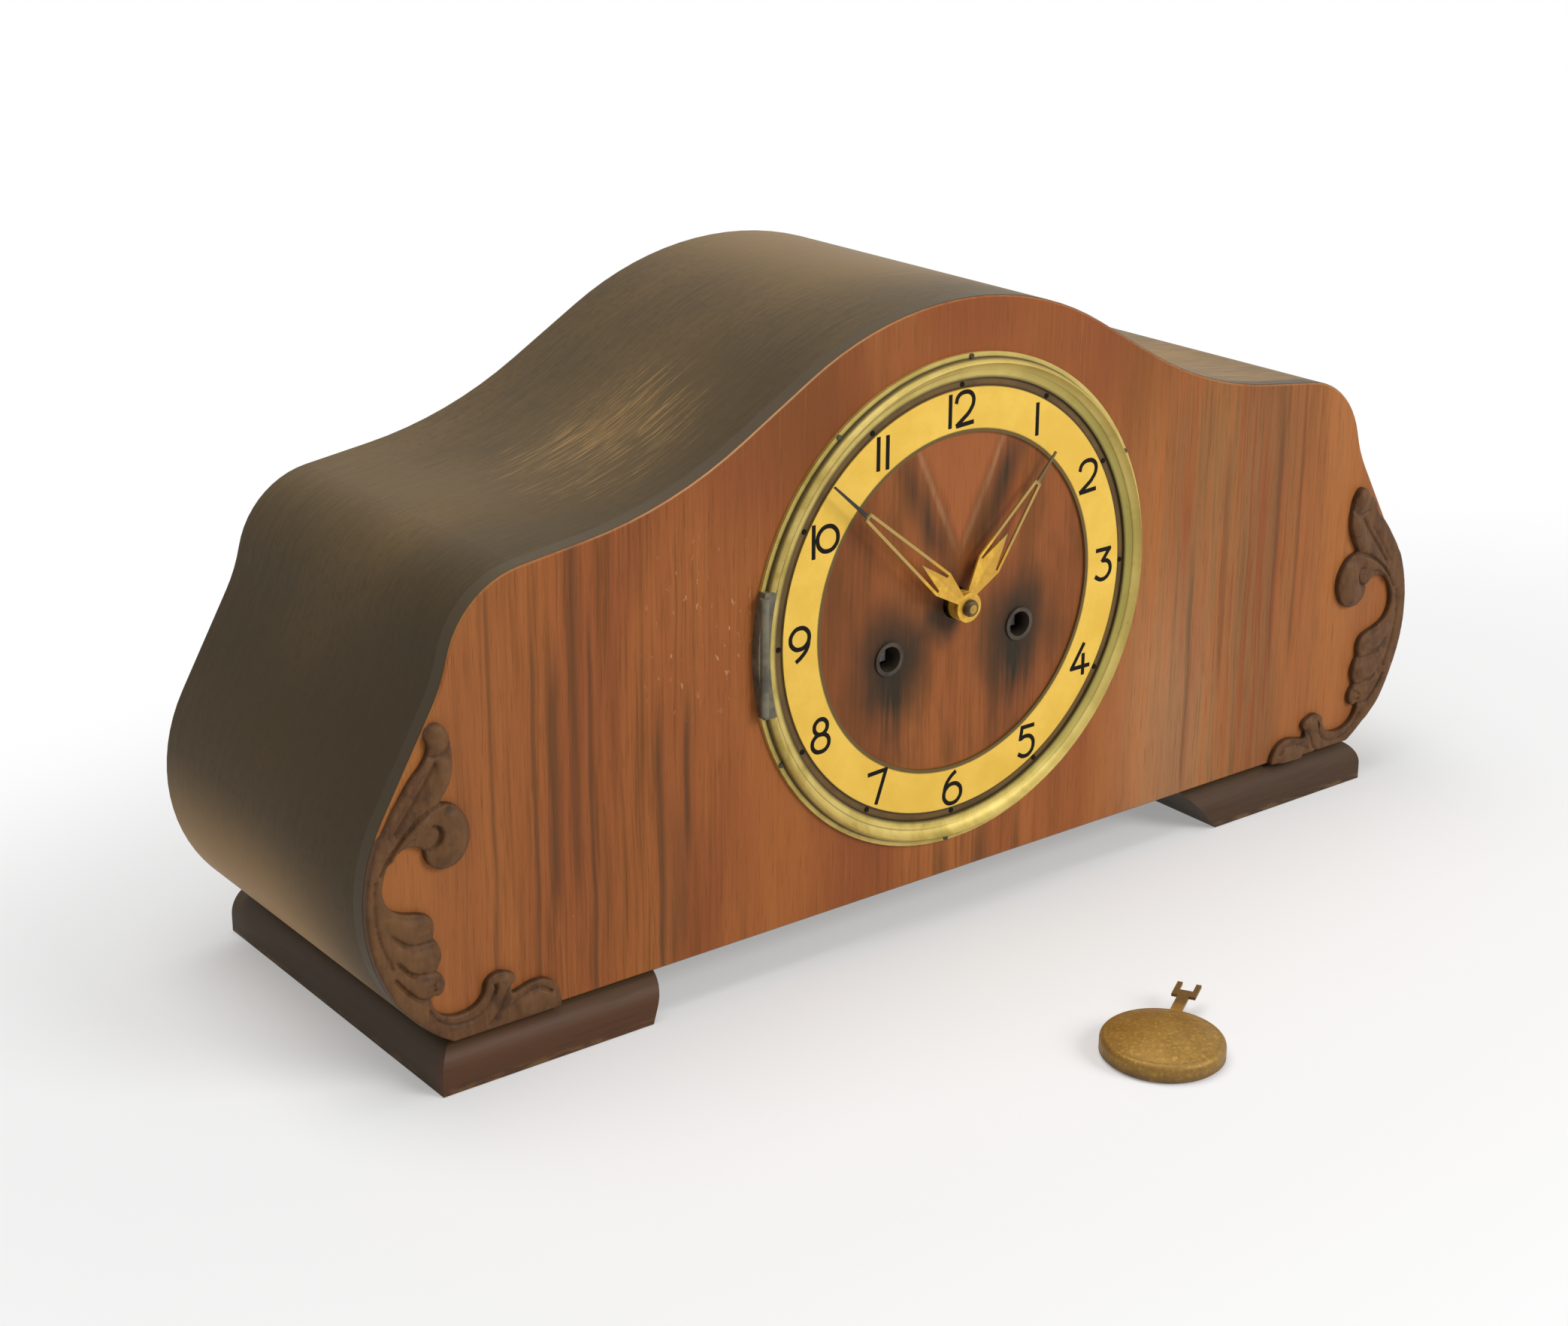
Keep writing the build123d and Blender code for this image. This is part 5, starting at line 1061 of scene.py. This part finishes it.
# The clock's colours: property, label and hex code
COLOURS = (
    ("veneer", "Veneer", "#A36130"),
    ("veneer_red", "Veneer, red part", "#8A4C28"),
    ("veneer_pale", "Veneer, pale part", "#A86E3C"),
    ("veneer_streak", "Veneer streaks", "#5F3B19"),
    ("veneer_line", "Veneer, dark lines", "#46321F"),
    ("veneer_dull", "Veneer, dull band", "#936C42"),
    ("veneer_dark", "Veneer, dark figure", "#2E271C"),
    # Pale lines and scuffs, and painted sheen low on the case's belly
    ("veneer_chalk_and_painted_sheen", "Veneer, pale lines", "#CFA67C"),
    ("veneer_fold", "Veneer, crown", "#A05E33"),
    ("case", "Case stain", "#604E33"),
    ("case_deep", "Case stain, deep", "#4E412C"),
    ("case_warm", "Case stain, thin", "#6E5839"),
    # Painted sheen on the case's upper faces
    ("case_painted_sheen", "Case stain, crown", "#856B44"),
    # Painted shade on the case's sides and on the panel's upright edges
    ("case_side_shade", "Case stain, upright sides", "#3D311E"),
    # Rubbed wear, and painted sheen low on the belly
    ("case_worn_and_painted_sheen", "Case, rubbed", "#A27F50"),
    ("foot", "Foot stain", "#4A3828"),
    ("foot_deep", "Foot stain, deep", "#3A2D21"),
    ("foot_red", "Foot stain, front ends", "#573824"),
    ("carving", "Carving stain", "#583A24"),
    ("carving_warm", "Carving, thin stain", "#66462B"),
    # Dark patches, and painted shade low in the cuts
    ("carving_deep_and_shade", "Carving, low cuts", "#38281A"),
    ("carving_worn", "Carving, ridges", "#704F2F"),
    ("back", "Back wood", "#7A5A3A"),
    ("back_deep", "Back wood grain", "#553B25"),
    ("bezel", "Bezel brass", "#B09948"),
    # Bright brass, and painted highlights on the bezel's top and right outer side
    ("bezel_bright_and_highlight", "Bezel brass, bright", "#CAB465"),
    # Greenish tarnish, and painted shade on the bezel's right inner slope
    ("bezel_green_and_shade", "Bezel, greenish", "#968A40"),
    # Dirt flecks, and painted shade at the bezel's joint, bend and foot
    ("bezel_dirt_and_shade", "Bezel dirt", "#453A1C"),
    ("gilt", "Gilt", "#EDC454"),
    ("gilt_deep", "Gilt, deep", "#E3B847"),
    ("gilt_smudge", "Gilt smudges", "#CFA548"),
    ("track", "Track", "#6A5028"),
    # Deep track tone, and the painted shade of the chapter ring's inner border
    ("track_deep_and_shade", "Track, deep", "#543F1E"),
    ("border", "Dial border", "#3A2C18"),
    ("hand_gilt", "Hand gilt", "#E6B440"),
    # Deep gilt, and painted shade on one facet of the hands' kite
    ("hand_deep_and_shade", "Hand gilt, deep", "#B98A2E"),
    ("hand_straw", "Hand rails", "#AE9152"),
    ("nut", "Hand nut", "#8A6A44"),
    ("ferrule", "Ferrules", "#4E4234"),
    ("ferrule_deep", "Ferrules, dark", "#2A241D"),
    ("brass", "Movement brass", "#CFAE5A"),
    ("brass_deep", "Movement brass, dull", "#A8853C"),
    ("steel", "Steel", "#9C9C9E"),
    ("steel_deep", "Steel, dull", "#6C6C70"),
    ("iron", "Tarnished steel", "#78725E"),
    ("iron_deep", "Tarnished steel, dark", "#4E4B3E"),
    ("bob", "Bob brass", "#977332"),
    ("bob_deep", "Bob brass, dull", "#8B6829"),
    ("bob_bright", "Bob brass, rubbed", "#C19B41"),
    ("bob_dark", "Bob rim", "#5E4524"),
    ("paint", "Dial paint", "#120E0A"),
)
for key, label, code in COLOURS:
    ClockLook.__annotations__[key] = colour_property(label, f"Colour: {label.lower()}", tint(code))


class ClockStage(bpy.types.PropertyGroup):
    """The floor, lamps and camera round the clock."""

    floor: colour_property("Floor", "Colour of the floor", (0.84, 0.84, 0.84))
    sky: FloatProperty(name="Sky", description="Strength of the even light", default=0.27, min=0.0, max=4.0)
    key: FloatProperty(
        name="Key lamp", description="Power of the lamp at front right", default=24.0, min=0.0, unit="POWER"
    )
    fill: FloatProperty(
        name="Fill lamp", description="Power of the lamp overhead", default=21.0, min=0.0, unit="POWER"
    )
    lens: FloatProperty(
        name="Lens", description="Focal length of the camera", default=61.47, min=1.0, unit="CAMERA"
    )


class CLOCK_OT_front_panel(bpy.types.Operator):
    """Veneer the front panel"""

    bl_idname = "clock.front_panel"
    bl_label = "Front panel"

    def execute(self, context):
        dress(veneer_finish(), "front_panel")
        return {"FINISHED"}


class CLOCK_OT_case(bpy.types.Operator):
    """Stain the bent case, its base and its feet"""

    bl_idname = "clock.case"
    bl_label = "Case and feet"

    def execute(self, context):
        dress(case_finish(), "case_wrap", "base_board")
        dress(foot_finish(), "foot_left", "foot_right")
        return {"FINISHED"}


class CLOCK_OT_carvings(bpy.types.Operator):
    """Carve the two scrolls on the panel's corners"""

    bl_idname = "clock.carvings"
    bl_label = "Carved scrolls"

    def execute(self, context):
        stain = carving_finish()
        carve("scroll_left", -1, "carving_left", (0.0, 0.0), 0.0, stain)
        carve("scroll_right", 1, "carving_right", RIGHT_SHIFT, RIGHT_REACH, stain)
        return {"FINISHED"}


class CLOCK_OT_dial(bpy.types.Operator):
    """Finish the bezel, the chapter ring, the ferrules and the hands"""

    bl_idname = "clock.dial"
    bl_label = "Dial and hands"

    def execute(self, context):
        dress(bezel_finish(), "bezel_ring")
        dress(chapter_finish(), "chapter_ring")
        dress(polished_finish("tarnished_steel", "iron", "iron_deep", 0.42, 0.4), "bezel_hinge_plate")
        dress(polished_finish("pin_iron", "iron_deep", "border", 0.5, 0.3), "bezel_pins")
        dress(polished_finish("ferrule_brass", "ferrule", "ferrule_deep", 0.42, 0.4), "winding_ferrules")
        dress(hand_finish("hour_hand_gilt", HOUR_ANGLE, HOUR_KITE, HOUR_RAILS, 0.7), "hour_hand")
        dress(hand_finish("minute_hand_gilt", MINUTE_ANGLE, MINUTE_KITE, MINUTE_RAILS, 1.0), "minute_hand")
        dress(polished_finish("hand_nut_brass", "nut", "border", 0.4, 0.6), "hand_nut")
        return {"FINISHED"}


class CLOCK_OT_numerals(bpy.types.Operator):
    """Paint the hour numerals on the chapter ring"""

    bl_idname = "clock.numerals"
    bl_label = "Hour numerals"

    def execute(self, context):
        own = look()
        pen = own.numeral_pen / 2
        figures = {figure: drawn_figure(figure, own.numeral_size, pen) for figure in NUMERALS}
        reach = NUMERAL_R * MM
        placed = []
        for hour, parts in HOURS.items():
            angle = math.radians(90 - 30 * hour)
            middle = Vector((DIAL_X + reach * math.cos(angle), RING_FACE_Y, DIAL_Z + reach * math.sin(angle)))
            for figure, shift in parts:
                copy = duplicate(figures[figure])
                copy.scale = (1.0, NUMERAL_RISE, 1.0)
                copy.location = middle + Vector((shift * own.numeral_size * MM, 0.0, 0.0))
                settle(copy)
                placed.append(copy)
        for piece in figures.values():
            bpy.data.objects.remove(piece)
        numerals = join(placed, "hour_numerals")
        coat(numerals, painted_finish())
        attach(numerals, "case")
        return {"FINISHED"}


class CLOCK_OT_hour_dots(bpy.types.Operator):
    """Set the black hour dots in the track round the chapter ring"""

    bl_idname = "clock.hour_dots"
    bl_label = "Hour dots"

    def execute(self, context):
        deselect()
        bpy.ops.mesh.primitive_cylinder_add(
            vertices=DOT_SIDES,
            radius=DOT_HALF * MM,
            depth=DOT_THICK * MM,
            location=(DIAL_X, RING_FACE_Y + DOT_SINK * MM, DIAL_Z + DOT_R * MM),
            rotation=(math.pi / 2, 0, 0),
        )
        first = context.object
        settle(first)
        finish_with(first, "BEVEL", width=DOT_EASE * MM, segments=2)
        dots = [first]
        hub = Matrix.Translation((DIAL_X, 0.0, DIAL_Z))
        for hour in range(1, 12):
            copy = duplicate(first)
            copy.matrix_world = hub @ Matrix.Rotation(math.radians(30 * hour), 4, "Y") @ hub.inverted()
            settle(copy)
            dots.append(copy)
        marks = join(dots, "hour_dots")
        coat(marks, painted_finish())
        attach(marks, "case")
        return {"FINISHED"}


class CLOCK_OT_back(bpy.types.Operator):
    """Finish the back frame, the door, its hinges and its knob"""

    bl_idname = "clock.back"
    bl_label = "Back and door"

    def execute(self, context):
        dress(plain_wood_finish(), "back_frame", "back_door", "door_stop", "gong_block")
        hinge = polished_finish("hinge_brass", "brass", "brass_deep", 0.3)
        dress(hinge, "hinge_frame_leaves", "hinge_door_leaves", "hinge_pins", "back_door_knob")
        dress(polished_finish("screw_steel", "steel", "steel_deep", 0.35), "foot_screws")
        return {"FINISHED"}


class CLOCK_OT_movement(bpy.types.Operator):
    """Finish the plates, wheels, arbors, hammers and gong rods"""

    bl_idname = "clock.movement"
    bl_label = "Movement"

    def execute(self, context):
        plate = brushed_finish("plate_brass", "brass", "brass_deep")
        dress(plate, "front_plate", "back_plate", "suspension_cock", "time_barrel", "strike_barrel", "fly")
        wheel = polished_finish("wheel_brass", "brass", "brass_deep", 0.26)
        dress(
            wheel, "pillars", "pillar_nuts", "mounting_posts", "second_wheel", "centre_wheel", "minute_wheel",
            "hour_wheel", "third_wheel", "escape_wheel", "pin_wheel", "warning_wheel", "hammer_heads",
        )
        steel = polished_finish("arbor_steel", "steel", "steel_deep", 0.26)
        dress(
            steel, "mounting_screws", "time_winding_arbor", "time_ratchet", "time_click", "cannon_pinion",
            "pallet_anchor", "crutch", "suspension_spring", "pendulum_leader", "strike_winding_arbor",
            "strike_ratchet", "strike_click", "hammer_arbor", "gong_rods",
        )
        return {"FINISHED"}


class CLOCK_OT_bob(bpy.types.Operator):
    """Finish the loose pendulum bob"""

    bl_idname = "clock.bob"
    bl_label = "Pendulum bob"

    def execute(self, context):
        dress(bob_finish(), "pendulum_bob")
        return {"FINISHED"}


def background_seen(nodes):
    """1 where the eye, a mirror or glass looks."""
    camera, glossy, clear = (
        nodes.node("ShaderNodeLightPath", {}, {}, f"Is {kind} Ray") for kind in BACKGROUND_RAYS
    )
    return camera.most(glossy).most(clear)


def lay_floor(tone):
    """Pale floor that keeps the clock's shadow and fades to white away from it."""
    deselect()
    bpy.ops.mesh.primitive_plane_add(size=FLOOR_SIZE, location=(0.0, 0.0, -FLOOR_DROP))
    floor = bpy.context.object
    floor.name = "floor"
    finish = Finish("pale_floor")
    finish.feed(Base_Color=(*tone, 1.0), Roughness=0.9, Specular_IOR_Level=0.1)
    away = (finish.x * finish.x * 11.0 + finish.y * finish.y * 36.0).root()
    fade = away.step(0.9, 2.2) * 0.7 + 0.3
    white = finish.node("ShaderNodeEmission", {}, {"Color": WHITE, "Strength": 1.0})
    lit = Wire(finish, finish.shader.outputs[0])
    blend = finish.node("ShaderNodeMixShader", {}, [background_seen(finish) * fade, lit, white])
    finish.fill(finish.tree.nodes["Material Output"], "Surface", blend)
    floor.data.materials.append(finish.material)


def light_sky(strength):
    """Even light, with white behind the clock."""
    world = bpy.data.worlds.new("even_light")
    world.use_nodes = True
    bpy.context.scene.world = world
    nodes = Nodes(world.node_tree)
    ground = nodes.tree.nodes["Background"]
    nodes.fill(ground, "Color", WHITE)
    nodes.fill(ground, "Strength", background_seen(nodes) * (1.0 - strength) + strength)


def hang_lamp(name, spot, size, power):
    """Round soft lamp, aimed at the clock."""
    lamp = bpy.data.lights.new(name, "AREA")
    lamp.shape = "DISK"
    lamp.size = size
    lamp.energy = power
    holder = bpy.data.objects.new(name, lamp)
    holder.location = spot
    aim = Vector(LAMP_AIM) - Vector(spot)
    holder.rotation_euler = aim.to_track_quat("-Z", "Y").to_euler()
    bpy.context.scene.collection.objects.link(holder)


def place_camera(lens):
    """Camera at the photograph's viewpoint."""
    camera = bpy.data.cameras.new("camera")
    camera.lens = lens
    camera.sensor_width = SENSOR_WIDTH
    camera.shift_x, camera.shift_y = CAMERA_SHIFT
    camera.clip_start = CAMERA_NEAR
    holder = bpy.data.objects.new("camera", camera)
    right = Vector(CAMERA_RIGHT)
    up = Vector(CAMERA_UP)
    turn = Matrix((right, up, right.cross(up))).transposed().to_4x4()
    holder.matrix_world = Matrix.Translation(CAMERA_SPOT) @ turn
    bpy.context.scene.collection.objects.link(holder)
    bpy.context.scene.camera = holder


class CLOCK_OT_stage(bpy.types.Operator):
    """Set the floor, the soft lamps and the camera"""

    bl_idname = "clock.stage"
    bl_label = "Stage"

    def execute(self, context):
        own = context.scene.clock_stage
        lay_floor(own.floor)
        light_sky(own.sky)
        hang_lamp("key_lamp", KEY_SPOT, KEY_SIZE, own.key)
        hang_lamp("fill_lamp", FILL_SPOT, FILL_SIZE, own.fill)
        place_camera(own.lens)
        context.scene.view_settings.view_transform = "Standard"
        return {"FINISHED"}


class CLOCK_PT_panel(bpy.types.Panel):
    """Clock's steps and finishes"""

    bl_label = "Mantel clock"
    bl_idname = "CLOCK_PT_panel"
    bl_space_type = "VIEW_3D"
    bl_region_type = "UI"
    bl_category = "Clock"

    def draw(self, context):
        for step in STEPS:
            self.layout.operator(step.bl_idname)
        for group in (context.scene.clock_look, context.scene.clock_stage):
            for key in group.__annotations__:
                self.layout.prop(group, key)


STEPS = (
    CLOCK_OT_front_panel,
    CLOCK_OT_case,
    CLOCK_OT_carvings,
    CLOCK_OT_dial,
    CLOCK_OT_numerals,
    CLOCK_OT_hour_dots,
    CLOCK_OT_back,
    CLOCK_OT_movement,
    CLOCK_OT_bob,
    CLOCK_OT_stage,
)
CLASSES = (ClockLook, ClockStage, *STEPS, CLOCK_PT_panel)


def register():
    for cls in CLASSES:
        bpy.utils.register_class(cls)
    bpy.types.Scene.clock_look = PointerProperty(type=ClockLook)
    bpy.types.Scene.clock_stage = PointerProperty(type=ClockStage)


def unregister():
    del bpy.types.Scene.clock_stage
    del bpy.types.Scene.clock_look
    for cls in reversed(CLASSES):
        bpy.utils.unregister_class(cls)


def main():
    register()
    bpy.ops.clock.front_panel()
    bpy.ops.clock.case()
    bpy.ops.clock.carvings()
    bpy.ops.clock.dial()
    bpy.ops.clock.numerals()
    bpy.ops.clock.hour_dots()
    bpy.ops.clock.back()
    bpy.ops.clock.movement()
    bpy.ops.clock.bob()
    bpy.ops.clock.stage()


if __name__ == "__main__":
    main()
